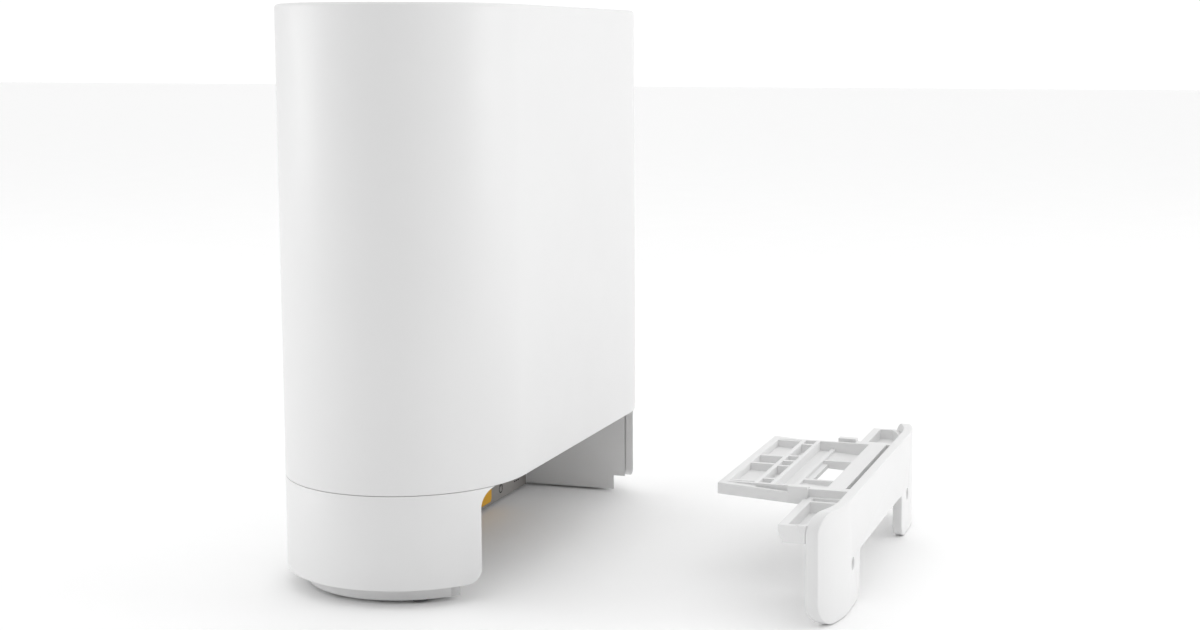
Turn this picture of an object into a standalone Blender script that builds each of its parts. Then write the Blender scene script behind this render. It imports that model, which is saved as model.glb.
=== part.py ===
"""Mesh wifi node with a pull-out cable cover.

A tall unit with round ends stands on a small inset foot. Its ports face backwards into a bay under
the upper sleeve, and a cover with a tray slides straight into that bay from the back.

Metres, +Z up, +X along the unit's length, +Y towards the back. The origin is on the surface that
the unit stands on, under the middle of the foot's front strip. Sizes below are measured from the
unit's own vertical centre line, which the empty "unit" carries. The cover is modelled where it sits
when it is home, and the empty "cover_axis" holds it at its pulled-out rest place.
"""
import math

import bmesh
import bpy
from mathutils import Matrix, Vector

MM = 0.001

# Whole unit
LENGTH = 160.0 * MM
DEPTH = 70.0 * MM
HEIGHT = 162.0 * MM
WALL = 2.2 * MM
GAP = 0.3 * MM
CENTRE_Y = 20.0 * MM            # unit's centre line, seen from the origin on the foot's front strip
ARC_SEGMENTS = 12               # to a quarter turn of the round ends

# Heights
FOOT_BOTTOM = 0.8 * MM
SKIRT_BOTTOM = 5.0 * MM
SEAM_Z = 31.0 * MM
SEAM_GAP = 0.4 * MM
TOP_EDGE_RADIUS = 1.2 * MM
FOOT_INSET = 5.5 * MM

# Top cover and its seat
COVER_INSET = 7.0 * MM
LEDGE_WIDTH = 5.0 * MM
LEDGE_THICK = 3.0 * MM
TOP_COVER_THICK = 1.5 * MM
TOP_COVER_SINK = 0.2 * MM
VENT_COUNT = 13
VENT_PITCH = 9.0 * MM
VENT_SIZE = (2.4 * MM, 28.0 * MM)

# Cable bay at the back of the base
BAY_HALF = 63.0 * MM
BAY_FILLET = 5.5 * MM
SKIRT_CORNER_RADIUS = 3.7 * MM
PORT_WALL_Y = -9.0 * MM         # outer face of the wall that carries the ports
LINER_WALL = 2.0 * MM
LINER_BOTTOM = 0.6 * MM
CEILING_THICK = 1.8 * MM

# Ports, along the port wall
PORT_Z = 17.0 * MM
PORT_FACE_Y = PORT_WALL_Y - 0.2 * MM
JACK_SIZE = (15.6 * MM, 15.0 * MM, 13.2 * MM)
JACK_MOUTH = (11.9 * MM, 12.5 * MM, 8.2 * MM)
JACK_LATCH = (5.0 * MM, 1.2 * MM)
JACK_MOUTH_DROP = 0.8 * MM
WAN_X = 34.5 * MM
LAN_X = (17.6 * MM, 0.8 * MM, -16.0 * MM)
USB_X = 52.0 * MM
USB_SIZE = (13.2 * MM, 15.0 * MM, 5.8 * MM)
USB_SHEET = 0.45 * MM
USB_TONGUE = (10.8 * MM, 9.0 * MM, 1.9 * MM)
DC_X = -50.5 * MM
DC_SIZE = (9.4 * MM, 15.0 * MM, 11.0 * MM)
DC_BORE_RADIUS = 3.15 * MM
DC_PIN_RADIUS = 1.05 * MM
DC_BORE_DEPTH = 10.0 * MM

# Buttons beside the ports
POWER_X = -37.0 * MM
POWER_CAP = (7.4 * MM, 7.4 * MM)
POWER_PROUD = 2.4 * MM
POWER_TRAVEL = 1.6 * MM
POWER_SUNK = 4.0 * MM
POWER_CORNER_RADIUS = 1.2 * MM
POWER_SWITCH_HALF = 5.0 * MM
SMALL_BUTTON_X = -28.0 * MM
WPS_Z = 20.5 * MM
WPS_RADIUS = 2.1 * MM
WPS_PROUD = 0.8 * MM
WPS_TRAVEL = 0.5 * MM
RESET_Z = 12.5 * MM
RESET_RADIUS = 0.9 * MM
RESET_SUNK = 1.0 * MM
RESET_TRAVEL = 0.4 * MM
STEM_BACK = 2.0 * MM            # how far a small button's stem reaches behind its flange
FLANGE = (0.8 * MM, 1.2 * MM)   # its width round the stem and its thickness
TACT_SIZE = (6.0 * MM, 3.6 * MM, 6.0 * MM)

# Printed labels under the ports
LABEL_THICK = 0.3 * MM
LABEL_Z = (0.7 * MM, 8.4 * MM)
LABEL_HALF = 61.0 * MM
LAN_LABEL_MARGIN = (1.3 * MM, 0.8 * MM)
LAN_LABEL_RADIUS = 1.4 * MM
LAN_LABEL_X = (-30.0 * MM, 26.0 * MM)

# Inner works
BOARD_Y = -24.5 * MM            # face of the board that carries the ports
BOARD_THICK = 1.6 * MM
BOARD_HALF = 56.0 * MM
BOARD_Z = (9.0 * MM, 146.0 * MM)
POST_X = 51.0 * MM
POST_Z = (44.0 * MM, 138.0 * MM)
POST_RADIUS = 3.4 * MM
POST_BORE_RADIUS = 1.9 * MM
POST_BORE_DEPTH = 12.0 * MM
BOARD_SCREW_LENGTH = 9.0 * MM
CHASSIS_Y = (4.0 * MM, 6.0 * MM)
CHASSIS_HALF = 57.0 * MM
CHASSIS_Z = (36.0 * MM, 148.0 * MM)
CHASSIS_RADIUS = 4.0 * MM
SINK_HALF = 42.0 * MM
SINK_Z = (52.0 * MM, 130.0 * MM)
SINK_BASE = 3.0 * MM
SINK_DEPTH = 19.0 * MM
FIN_COUNT = 9
FIN_THICK = 1.6 * MM
PAD_THICK = 1.0 * MM
PAD_HALF = 20.0 * MM
PAD_Z = (72.0 * MM, 108.0 * MM)
SHIELD_DEPTH = 3.0 * MM
SHIELD_LOWER = (-40.0 * MM, -6.0 * MM, 58.0 * MM, 92.0 * MM)
SHIELD_UPPER = (6.0 * MM, 40.0 * MM, 84.0 * MM, 124.0 * MM)
ANTENNA_SIZE = (17.0 * MM, 0.8 * MM, 30.0 * MM)
ANTENNA_X = 45.0 * MM
ANTENNA_Z = (56.0 * MM, 122.0 * MM)

# Base pan, its screws and its rubber feet
PAN_PLATE = (5.6 * MM, 7.6 * MM)
SCREW_X = 69.8 * MM
SCREW_Y = (-9.0 * MM, 4.0 * MM)
SCREW_HEAD_RADIUS = 2.3 * MM
SCREW_HEAD_HEIGHT = 1.8 * MM
SCREW_SHANK_RADIUS = 1.25 * MM
SCREW_LENGTH = 12.0 * MM
SCREW_SEAT = 1.2 * MM
BOSS_RADIUS = 3.0 * MM
BOSS_HEIGHT = 12.0 * MM
BOSS_RIB_HALF = 1.2 * MM
BORE_DEPTH = 10.0 * MM
FRONT_PAD_Y = -CENTRE_Y
FRONT_PAD_HALF = (48.0 * MM, 3.5 * MM)
REAR_PAD = (68.1 * MM, 13.4 * MM)
REAR_PAD_RADIUS = 2.2 * MM
PAD_HEIGHT = 2.0 * MM

# Status light
LIGHT_Z = 46.0 * MM
LIGHT_RADIUS = 1.7 * MM
LIGHT_LENGTH = 3.6 * MM
LED_HALF = 1.6 * MM

# Cable cover: a curved plate with a tray behind it
COVER_PULL = 93.0 * MM          # how far the cover is out of the bay at rest
PLATE_HALF = 62.5 * MM
PLATE_THICK = 2.6 * MM
PLATE_TOP = 30.4 * MM
PLATE_TOP_RADIUS = 5.5 * MM
PLATE_FOOT_RADIUS = 7.0 * MM
ARCH_HALF = 31.2 * MM
ARCH_TOP = 13.6 * MM
ARCH_RADIUS = 1.5 * MM
LEG_INNER_RADIUS = 5.0 * MM
COVER_HOLE = (40.2 * MM, 12.0 * MM, 1.75 * MM)
TRAY_HALF = 31.9 * MM
TRAY_TIP_Y = -5.5 * MM
TRAY_TOP = 29.5 * MM
TRAY_CLEAR = 32.0 * MM          # above everything on the tray, for cutters
TRAY_UNDER = (26.4 * MM, 25.1 * MM, 24.0 * MM)
TRAY_KNEE_Y = 16.0 * MM
TRAY_RIB = 1.2 * MM
TRAY_FLOOR = 1.2 * MM
TRAY_ROWS = (2.4 * MM, 10.8 * MM, 15.4 * MM, 20.1 * MM, 30.6 * MM)   # starts of the pocket rows, from the tip
TRAY_RIBS = ((-27.0, -5.2, 5.2, 27.0), (-23.0, -6.6, 0.0, 6.6, 23.0), (), (-12.5, 12.5))
RAIL_TOP = 27.4 * MM            # the rails round the window are lower than the tray
WINDOW_HALF = 11.9 * MM
WINDOW_START = 21.6 * MM
SLOT_Y = (35.8 * MM, 37.4 * MM)
SLOT_END = 3.0 * MM
ARM_THICK = 1.2 * MM            # springy arm along each side, which carries a clip
ARM_DIP = 1.4 * MM
ARM_SLOT_Y = (5.0 * MM, 20.5 * MM)
CLIP_Y = (15.0 * MM, 20.5 * MM)
CLIP_WIDTH = 2.8 * MM
CLIP_RISE = 0.8 * MM
CLIP_BOTTOM = 27.0 * MM
SHOULDER_Y = 19.7 * MM
SHOULDER_Z = (22.6 * MM, 27.3 * MM)
SHOULDER_RADIUS = 3.0 * MM
TROUGH_FLOOR = 1.6 * MM
TROUGH_BACK = 30.0 * MM
TROUGH_RIB = 4.2 * MM           # from the tray's side to the rib that splits a trough
TROUGH_RIM = 1.4 * MM

MATERIALS = {
    "white_abs": ((0.84, 0.84, 0.84, 1.0), 0.45, 0.0),
    "grey_label": ((0.36, 0.36, 0.37, 1.0), 0.5, 0.0),
    "yellow_label": ((0.85, 0.56, 0.02, 1.0), 0.5, 0.0),
    "black_plastic": ((0.02, 0.02, 0.022, 1.0), 0.5, 0.0),
    "rubber": ((0.16, 0.16, 0.17, 1.0), 0.8, 0.0),
    "plated_steel": ((0.62, 0.62, 0.63, 1.0), 0.3, 1.0),
    "aluminium": ((0.72, 0.73, 0.74, 1.0), 0.4, 1.0),
    "board_green": ((0.02, 0.16, 0.07, 1.0), 0.5, 0.0),
    "copper_plate": ((0.75, 0.45, 0.27, 1.0), 0.35, 1.0),
    "thermal_grey": ((0.30, 0.32, 0.36, 1.0), 0.8, 0.0),
    "clear_lens": ((0.9, 0.9, 0.92, 1.0), 0.15, 0.0),
}


def clear_scene():
    """Remove whatever the file starts with."""
    for thing in list(bpy.data.objects):
        bpy.data.objects.remove(thing, do_unlink=True)


def new_collection(name):
    """Make a collection in the scene."""
    collection = bpy.data.collections.new(name)
    bpy.context.scene.collection.children.link(collection)
    return collection


def new_materials():
    """Make one Principled material for each finish."""
    made = {}
    for name, (colour, roughness, metallic) in MATERIALS.items():
        material = bpy.data.materials.new(name)
        material.use_nodes = True
        shader = material.node_tree.nodes["Principled BSDF"]
        shader.inputs["Base Color"].default_value = colour
        shader.inputs["Roughness"].default_value = roughness
        shader.inputs["Metallic"].default_value = metallic
        made[name] = material
    return made


clear_scene()
PARTS = new_collection("mesh_wifi_node")
CUTTERS = new_collection("cutters")
FINISH = new_materials()
UNIT = bpy.data.objects.new("unit", None)
COVER_AXIS = bpy.data.objects.new("cover_axis", None)
PARTS.objects.link(UNIT)
PARTS.objects.link(COVER_AXIS)
UNIT.location = (0.0, CENTRE_Y, 0.0)
COVER_AXIS.parent = UNIT
COVER_AXIS.location = (0.0, COVER_PULL, 0.0)


# ---------------------------------------------------------------- outlines

def arc(centre, radius, start, end, segments):
    """Points on an arc, both ends included; angles in radians."""
    step = (end - start) / segments
    return [(centre[0] + radius * math.cos(start + step * i),
             centre[1] + radius * math.sin(start + step * i)) for i in range(segments + 1)]


def stadium(inset=0.0, segments=ARC_SEGMENTS):
    """The unit's outline, moved inwards by inset: two half circles joined by straight sides."""
    radius = DEPTH / 2 - inset
    middle = LENGTH / 2 - DEPTH / 2
    right = arc((middle, 0.0), radius, -math.pi / 2, math.pi / 2, 2 * segments)
    left = arc((-middle, 0.0), radius, math.pi / 2, 3 * math.pi / 2, 2 * segments)
    return right + left


def end_x(y, inset=0.0):
    """How far the outline, moved inwards by inset, reaches along the unit at a distance y."""
    return LENGTH / 2 - DEPTH / 2 + math.sqrt((DEPTH / 2 - inset) ** 2 - y ** 2)


def rounded(corners, segments=4):
    """An outline through corners (x, y, radius), each corner turned into an arc."""
    points = []
    for i, (x, y, radius) in enumerate(corners):
        here = Vector((x, y))
        before = Vector(corners[i - 1][:2]) - here
        after = Vector(corners[(i + 1) % len(corners)][:2]) - here
        if radius <= 0.0:
            points.append((x, y))
            continue
        half = before.angle(after) / 2
        reach = radius / math.tan(half)
        start = here + before.normalized() * reach
        end = here + after.normalized() * reach
        centre = here + (before.normalized() + after.normalized()).normalized() * radius / math.sin(half)
        first = math.atan2(start.y - centre.y, start.x - centre.x)
        last = math.atan2(end.y - centre.y, end.x - centre.x)
        turn = (last - first + math.pi) % (2 * math.pi) - math.pi
        points += arc(centre, radius, first, first + turn, segments)
    return points


def rectangle(x0, x1, y0, y1, radius=0.0):
    """Corners of a rectangle, for rounded()."""
    return [(x0, y0, radius), (x1, y0, radius), (x1, y1, radius), (x0, y1, radius)]


# ---------------------------------------------------------------- objects

def add_object(name, mesh, finish, parent=UNIT, location=(0.0, 0.0, 0.0)):
    """Put a mesh in the scene as a named piece, or as a cutter when it has no finish."""
    thing = bpy.data.objects.new(name, mesh)
    thing.parent = parent
    thing.location = location
    if finish is None:
        CUTTERS.objects.link(thing)
        thing.hide_render = True
        thing.display_type = "WIRE"
    else:
        PARTS.objects.link(thing)
        mesh.materials.append(FINISH[finish])
    return thing


def outline_mesh(name, points, low, high, axis="Z"):
    """Extrude a flat outline from low to high along an axis.

    The outline's two coordinates are (x, y) for Z, (x, z) for Y and (y, z) for X.
    """
    curve = bpy.data.curves.new(name, "CURVE")
    curve.dimensions = "2D"
    curve.fill_mode = "BOTH"
    curve.extrude = (high - low) / 2
    spline = curve.splines.new("POLY")
    spline.points.add(len(points) - 1)
    for point, (u, v) in zip(spline.points, points):
        point.co = (u, v, 0.0, 1.0)
    spline.use_cyclic_u = True
    guide = bpy.data.objects.new(name, curve)
    CUTTERS.objects.link(guide)
    bpy.context.view_layer.update()
    graph = bpy.context.evaluated_depsgraph_get()
    mesh = bpy.data.meshes.new_from_object(guide.evaluated_get(graph))
    bpy.data.objects.remove(guide)
    bpy.data.curves.remove(curve)
    mesh.name = name
    turn = {
        "Z": Matrix.Identity(4),
        "Y": Matrix.Rotation(math.pi / 2, 4, "X"),
        "X": Matrix(((0, 0, 1, 0), (1, 0, 0, 0), (0, 1, 0, 0), (0, 0, 0, 1))),
    }[axis]
    shift = {
        "Z": Vector((0, 0, (low + high) / 2)),
        "Y": Vector((0, (low + high) / 2, 0)),
        "X": Vector(((low + high) / 2, 0, 0)),
    }[axis]
    work = bmesh.new()
    work.from_mesh(mesh)
    bmesh.ops.remove_doubles(work, verts=work.verts, dist=1e-6)
    bmesh.ops.dissolve_limit(work, angle_limit=0.001, verts=work.verts, edges=work.edges)
    bmesh.ops.transform(work, matrix=Matrix.Translation(shift) @ turn, verts=work.verts)
    bmesh.ops.recalc_face_normals(work, faces=work.faces)
    work.to_mesh(mesh)
    work.free()
    return mesh


def box_mesh(name, boxes):
    """Boxes (x0, x1, y0, y1, z0, z1) in one mesh."""
    work = bmesh.new()
    for x0, x1, y0, y1, z0, z1 in boxes:
        made = bmesh.ops.create_cube(work, size=1.0)
        bmesh.ops.scale(work, vec=(x1 - x0, y1 - y0, z1 - z0), verts=made["verts"])
        middle = ((x0 + x1) / 2, (y0 + y1) / 2, (z0 + z1) / 2)
        bmesh.ops.translate(work, vec=middle, verts=made["verts"])
    mesh = bpy.data.meshes.new(name)
    work.to_mesh(mesh)
    work.free()
    return mesh


def rod_mesh(name, stages, axis="Z", segments=16):
    """Cylinders (radius, low, high) stacked along an axis, in one mesh."""
    turn = {"Z": Matrix.Identity(4), "Y": Matrix.Rotation(-math.pi / 2, 4, "X")}[axis]
    work = bmesh.new()
    for radius, low, high in stages:
        place = turn @ Matrix.Translation((0, 0, (low + high) / 2))
        bmesh.ops.create_cone(work, cap_ends=True, segments=segments, radius1=radius, radius2=radius,
                              depth=high - low, matrix=place)
    mesh = bpy.data.meshes.new(name)
    work.to_mesh(mesh)
    work.free()
    return mesh


def bevel_edges(mesh, wanted, width, segments=2):
    """Round the edges that wanted(edge) picks."""
    work = bmesh.new()
    work.from_mesh(mesh)
    edges = [edge for edge in work.edges if wanted(edge)]
    bmesh.ops.bevel(work, geom=edges, offset=width, segments=segments, profile=0.5, affect="EDGES",
                    clamp_overlap=True)
    work.to_mesh(mesh)
    work.free()


def at_height(height):
    """Pick the edges that lie at a height."""
    return lambda edge: all(abs(vert.co.z - height) < 1e-6 for vert in edge.verts)


def boolean(thing, operation, tool):
    """Add a Boolean modifier."""
    modifier = thing.modifiers.new(tool.name, "BOOLEAN")
    modifier.operation = operation
    modifier.object = tool
    return thing


def cut(thing, *meshes, location=(0.0, 0.0, 0.0)):
    """Cut meshes out of a piece; each becomes a hidden cutter."""
    for mesh in meshes:
        tool = add_object("cut_" + mesh.name, mesh, None, thing.parent, location)
        boolean(thing, "DIFFERENCE", tool)
    return thing


def join(thing, *meshes, location=(0.0, 0.0, 0.0)):
    """Join meshes to a piece."""
    for mesh in meshes:
        tool = add_object("add_" + mesh.name, mesh, None, thing.parent, location)
        boolean(thing, "UNION", tool)
    return thing


def keep_inside(thing, mesh):
    """Keep only what lies inside a mesh."""
    tool = add_object("keep_" + mesh.name, mesh, None, thing.parent)
    return boolean(thing, "INTERSECT", tool)


# ---------------------------------------------------------------- housing

def make_upper_sleeve():
    """The plain tall sleeve, open at the bottom, with a seat for the vented top."""
    mesh = outline_mesh("upper_sleeve", stadium(), SEAM_Z, HEIGHT)
    bevel_edges(mesh, at_height(HEIGHT), TOP_EDGE_RADIUS, segments=3)
    sleeve = add_object("upper_sleeve", mesh, "white_abs")
    seat = HEIGHT - TOP_COVER_SINK - TOP_COVER_THICK - GAP
    cut(sleeve,
        outline_mesh("sleeve_cavity", stadium(WALL), SEAM_Z - MM, seat - LEDGE_THICK),
        outline_mesh("sleeve_seat", stadium(COVER_INSET), seat, HEIGHT + MM),
        outline_mesh("sleeve_top_opening", stadium(COVER_INSET + LEDGE_WIDTH), seat - 5 * MM, seat + MM))
    hole = rod_mesh("light_hole", [(LIGHT_RADIUS + GAP, -DEPTH / 2 - MM, -DEPTH / 2 + 5 * MM)], "Y")
    cut(sleeve, hole, location=(0.0, 0.0, LIGHT_Z))


def make_top_cover():
    """Plate let into the sleeve's top, with a row of vent slots."""
    high = HEIGHT - TOP_COVER_SINK
    mesh = outline_mesh("top_cover", stadium(COVER_INSET + GAP), high - TOP_COVER_THICK, high)
    cover = add_object("top_cover", mesh, "white_abs")
    width, length = VENT_SIZE
    first = -(VENT_COUNT - 1) / 2 * VENT_PITCH
    slots = [(first + i * VENT_PITCH - width / 2, first + i * VENT_PITCH + width / 2,
              -length / 2, length / 2, high - 3 * MM, high + MM) for i in range(VENT_COUNT)]
    cut(cover, box_mesh("vent_slots", slots))


def make_light():
    """Round light pipe in the front of the sleeve and the LED behind it."""
    lens = rod_mesh("light_pipe", [(LIGHT_RADIUS, -DEPTH / 2, -DEPTH / 2 + LIGHT_LENGTH)], "Y", 12)
    add_object("light_pipe", lens, "clear_lens", location=(0.0, 0.0, LIGHT_Z))
    back = -DEPTH / 2 + LIGHT_LENGTH + GAP
    front_of_board = BOARD_Y - BOARD_THICK - GAP
    led = box_mesh("status_led", [(-LED_HALF, LED_HALF, back, front_of_board, -LED_HALF, LED_HALF)])
    add_object("status_led", led, "clear_lens", location=(0.0, 0.0, LIGHT_Z))


def bay_outline():
    """The bay's opening in the skirt: round upper corners, and skirt corners that turn outwards."""
    wide = BAY_HALF + 8 * MM
    return rounded([
        (-wide, -MM, 0.0), (wide, -MM, 0.0), (wide, SKIRT_BOTTOM, 0.0),
        (BAY_HALF, SKIRT_BOTTOM, SKIRT_CORNER_RADIUS), (BAY_HALF, SEAM_Z, BAY_FILLET),
        (-BAY_HALF, SEAM_Z, BAY_FILLET), (-BAY_HALF, SKIRT_BOTTOM, SKIRT_CORNER_RADIUS),
        (-wide, SKIRT_BOTTOM, 0.0)], segments=5)


def make_lower_base():
    """The skirt under the seam, cut away over the bay, with four screw bosses inside."""
    top = SEAM_Z - SEAM_GAP
    mesh = outline_mesh("lower_base", stadium(), SKIRT_BOTTOM, top)
    base = add_object("lower_base", mesh, "white_abs")
    cut(base, outline_mesh("base_cavity", stadium(WALL), SKIRT_BOTTOM - MM, top + MM))
    bay = outline_mesh("bay_opening", bay_outline(), PORT_WALL_Y, DEPTH / 2 + MM, "Y")
    cut(base, bay)
    low = PAN_PLATE[1] + GAP
    for side in (-1, 1):
        for y in SCREW_Y:
            boss = rod_mesh("screw_boss", [(BOSS_RADIUS, low, low + BOSS_HEIGHT)], segments=12)
            join(base, boss, location=(side * SCREW_X, y, 0.0))
            reach = end_x(abs(y) + BOSS_RIB_HALF, WALL / 2)
            inner, outer = sorted((side * (SCREW_X + BOSS_RADIUS / 2), side * reach))
            rib = box_mesh("boss_rib", [(inner, outer, y - BOSS_RIB_HALF, y + BOSS_RIB_HALF,
                                         low, low + BORE_DEPTH)])
            join(base, rib)
            bore = rod_mesh("boss_bore", [(SCREW_SHANK_RADIUS + GAP, low - MM, low + BORE_DEPTH)], segments=10)
            cut(base, bore, location=(side * SCREW_X, y, 0.0))


def make_port_housing():
    """Liner of the bay: the port wall, two side walls and a ceiling under the sleeve."""
    outer = BAY_HALF + LINER_WALL
    mesh = box_mesh("port_housing", [(-outer, outer, PORT_WALL_Y - LINER_WALL, DEPTH / 2,
                                      LINER_BOTTOM, SEAM_Z + CEILING_THICK)])
    housing = add_object("port_housing", mesh, "white_abs")
    keep_inside(housing, outline_mesh("liner_envelope", stadium(WALL + GAP), 0.0, HEIGHT / 2))
    room = [(-BAY_HALF, BAY_HALF, PORT_WALL_Y, DEPTH, -MM, SEAM_Z)]
    cut(housing, box_mesh("bay_room", room))
    wide = LENGTH
    ring = add_object("liner_foot_ring", box_mesh("liner_foot_ring", [
        (-wide, wide, -DEPTH, DEPTH, -MM, SKIRT_BOTTOM + GAP)]), None)
    cut(ring, outline_mesh("liner_foot_outline", stadium(FOOT_INSET + GAP), -2 * MM, SKIRT_BOTTOM + MM))
    boolean(housing, "DIFFERENCE", ring)
    cut(housing, box_mesh("port_windows", port_windows()))
    for z, radius in ((WPS_Z, WPS_RADIUS), (RESET_Z, RESET_RADIUS)):
        hole = rod_mesh("button_hole", [(radius + GAP, PORT_WALL_Y - 4 * MM, PORT_WALL_Y + MM)], "Y")
        cut(housing, hole, location=(SMALL_BUTTON_X, 0.0, z))


def port_windows():
    """Cut-outs in the port wall, one for each port body and the power button."""
    openings = [(x, JACK_SIZE[0], JACK_SIZE[2]) for x in (WAN_X, *LAN_X)]
    openings.append((USB_X, USB_SIZE[0], USB_SIZE[2]))
    openings.append((DC_X, DC_SIZE[0], DC_SIZE[2]))
    openings.append((POWER_X, *POWER_CAP))
    return [(x - width / 2 - GAP, x + width / 2 + GAP, PORT_WALL_Y - LINER_WALL - MM, PORT_WALL_Y + MM,
             PORT_Z - height / 2 - GAP, PORT_Z + height / 2 + GAP) for x, width, height in openings]


def make_base_pan():
    """Foot under the skirt and the plate that closes the base, notched for the bay."""
    pan = add_object("base_pan", outline_mesh("base_pan", stadium(FOOT_INSET), FOOT_BOTTOM,
                                              PAN_PLATE[0] + MM), "white_abs")
    join(pan, outline_mesh("pan_plate", stadium(WALL + GAP), *PAN_PLATE))
    notch = BAY_HALF + LINER_WALL + GAP
    cut(pan, box_mesh("pan_notch", [(-notch, notch, PORT_WALL_Y - LINER_WALL - GAP, DEPTH,
                                     -MM, 10 * MM)]))
    deep = PAD_HEIGHT + GAP
    half, width = (size + GAP for size in FRONT_PAD_HALF)
    pocket = [(-half, half, FRONT_PAD_Y - width, FRONT_PAD_Y + width, -MM, deep)]
    cut(pan, box_mesh("front_pad_pocket", pocket))
    for side in (-1, 1):
        pocket = rod_mesh("rear_pad_pocket", [(REAR_PAD_RADIUS + GAP, -MM, deep)], segments=12)
        cut(pan, pocket, location=(side * REAR_PAD[0], REAR_PAD[1], 0.0))
        for y in SCREW_Y:
            deep = SCREW_SEAT + SCREW_HEAD_HEIGHT + GAP
            sink = rod_mesh("screw_sink", [(SCREW_HEAD_RADIUS + GAP, -MM, deep)], segments=12)
            hole = rod_mesh("screw_hole", [(SCREW_SHANK_RADIUS + GAP, -MM, 10 * MM)], segments=10)
            cut(pan, sink, hole, location=(side * SCREW_X, y, 0.0))


def make_feet():
    """A wide rubber strip in front and two round pads behind."""
    half, width = FRONT_PAD_HALF
    strip = box_mesh("rubber_foot_front", [(-half, half, -width, width, 0.0, PAD_HEIGHT)])
    add_object("rubber_foot_front", strip, "rubber", location=(0.0, FRONT_PAD_Y, 0.0))
    for name, side in (("rubber_foot_left", 1), ("rubber_foot_right", -1)):
        pad = rod_mesh(name, [(REAR_PAD_RADIUS, 0.0, PAD_HEIGHT)])
        add_object(name, pad, "rubber", location=(side * REAR_PAD[0], REAR_PAD[1], 0.0))


def screw_outline(length):
    """Half section of a pan-head screw: (radius, distance along the screw) from its head's top."""
    head, shank = SCREW_HEAD_RADIUS, SCREW_SHANK_RADIUS
    return [(0.0, 0.0), (head * 0.75, 0.0), (head, SCREW_HEAD_HEIGHT * 0.4), (head, SCREW_HEAD_HEIGHT),
            (shank, SCREW_HEAD_HEIGHT), (shank, length - MM), (0.0, length)]


def turned_mesh(name, outline, segments):
    """Turn a half section about Z."""
    work = bmesh.new()
    verts = [work.verts.new((radius, 0.0, along)) for radius, along in outline]
    edges = [work.edges.new(pair) for pair in zip(verts, verts[1:])]
    bmesh.ops.spin(work, geom=verts + edges, cent=(0, 0, 0), axis=(0, 0, 1), angle=2 * math.pi,
                   steps=segments)
    bmesh.ops.remove_doubles(work, verts=work.verts, dist=1e-6)
    bmesh.ops.recalc_face_normals(work, faces=work.faces)
    mesh = bpy.data.meshes.new(name)
    work.to_mesh(mesh)
    work.free()
    return mesh


def make_base_screws():
    """Four screws that hold the pan to the skirt's bosses, heads down."""
    number = 0
    for side in (-1, 1):
        for y in SCREW_Y:
            number += 1
            mesh = turned_mesh("base_screw", screw_outline(SCREW_LENGTH), 10)
            add_object(f"base_screw_{number}", mesh, "plated_steel", location=(side * SCREW_X, y, SCREW_SEAT))


# ---------------------------------------------------------------- ports and buttons

def make_jack(name, x, finish="black_plastic"):
    """Network jack: a block with a stepped mouth for the plug and its latch."""
    width, depth, height = JACK_SIZE
    block = box_mesh(name, [(-width / 2, width / 2, -depth, 0.0, -height / 2, height / 2)])
    jack = add_object(name, block, finish, location=(x, PORT_FACE_Y, PORT_Z))
    mouth_w, mouth_d, mouth_h = JACK_MOUTH
    latch_w, latch_h = JACK_LATCH
    low = -mouth_h / 2 - JACK_MOUTH_DROP
    mouth = box_mesh(name + "_mouth", [(-mouth_w / 2, mouth_w / 2, -mouth_d, MM, low, low + mouth_h)])
    latch = box_mesh(name + "_latch", [(-latch_w / 2, latch_w / 2, -mouth_d + 2 * MM, MM, low - latch_h, 0.0)])
    cut(jack, mouth, latch, location=jack.location)


def make_usb():
    """Folded sheet shell and the tongue inside it."""
    width, depth, height = USB_SIZE
    place = (USB_X, PORT_FACE_Y, PORT_Z)
    shell = add_object("usb_shell", box_mesh("usb_shell", [(-width / 2, width / 2, -depth, 0.0,
                                                            -height / 2, height / 2)]), "plated_steel",
                       location=place)
    inner_w, inner_h = width / 2 - USB_SHEET, height / 2 - USB_SHEET
    cut(shell, box_mesh("usb_mouth", [(-inner_w, inner_w, -depth + MM, MM, -inner_h, inner_h)]),
        location=place)
    tongue_w, tongue_d, tongue_h = USB_TONGUE
    low = 0.1 * MM
    back = -depth + MM + GAP
    tongue = box_mesh("usb_tongue", [(-tongue_w / 2, tongue_w / 2, back, back + tongue_d, low, low + tongue_h)])
    add_object("usb_tongue", tongue, "black_plastic", location=place)


def make_dc_jack():
    """Power inlet: a block with a round bore and its centre pin."""
    width, depth, height = DC_SIZE
    place = (DC_X, PORT_FACE_Y, PORT_Z)
    jack = add_object("dc_jack", box_mesh("dc_jack", [(-width / 2, width / 2, -depth, 0.0,
                                                       -height / 2, height / 2)]), "black_plastic",
                      location=place)
    cut(jack, rod_mesh("dc_bore", [(DC_BORE_RADIUS, -DC_BORE_DEPTH, MM)], "Y"), location=place)
    join(jack, rod_mesh("dc_pin", [(DC_PIN_RADIUS, -DC_BORE_DEPTH - MM, -MM)], "Y", 12), location=place)


def make_power_button():
    """Square push button, its origin on its own line of travel, and the switch behind it."""
    half_w, half_h = POWER_CAP[0] / 2, POWER_CAP[1] / 2
    cap = outline_mesh("power_button",
                       rounded(rectangle(-half_w, half_w, -half_h, half_h, POWER_CORNER_RADIUS), 3),
                       -POWER_SUNK, POWER_PROUD, "Y")
    add_object("power_button", cap, "black_plastic", location=(POWER_X, PORT_WALL_Y, PORT_Z))
    front = PORT_WALL_Y - POWER_SUNK - POWER_TRAVEL - GAP
    half = POWER_SWITCH_HALF
    body = box_mesh("power_switch", [(-half, half, BOARD_Y + GAP, front, -half, half)])
    add_object("power_switch", body, "black_plastic", location=(POWER_X, 0.0, PORT_Z))


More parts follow.
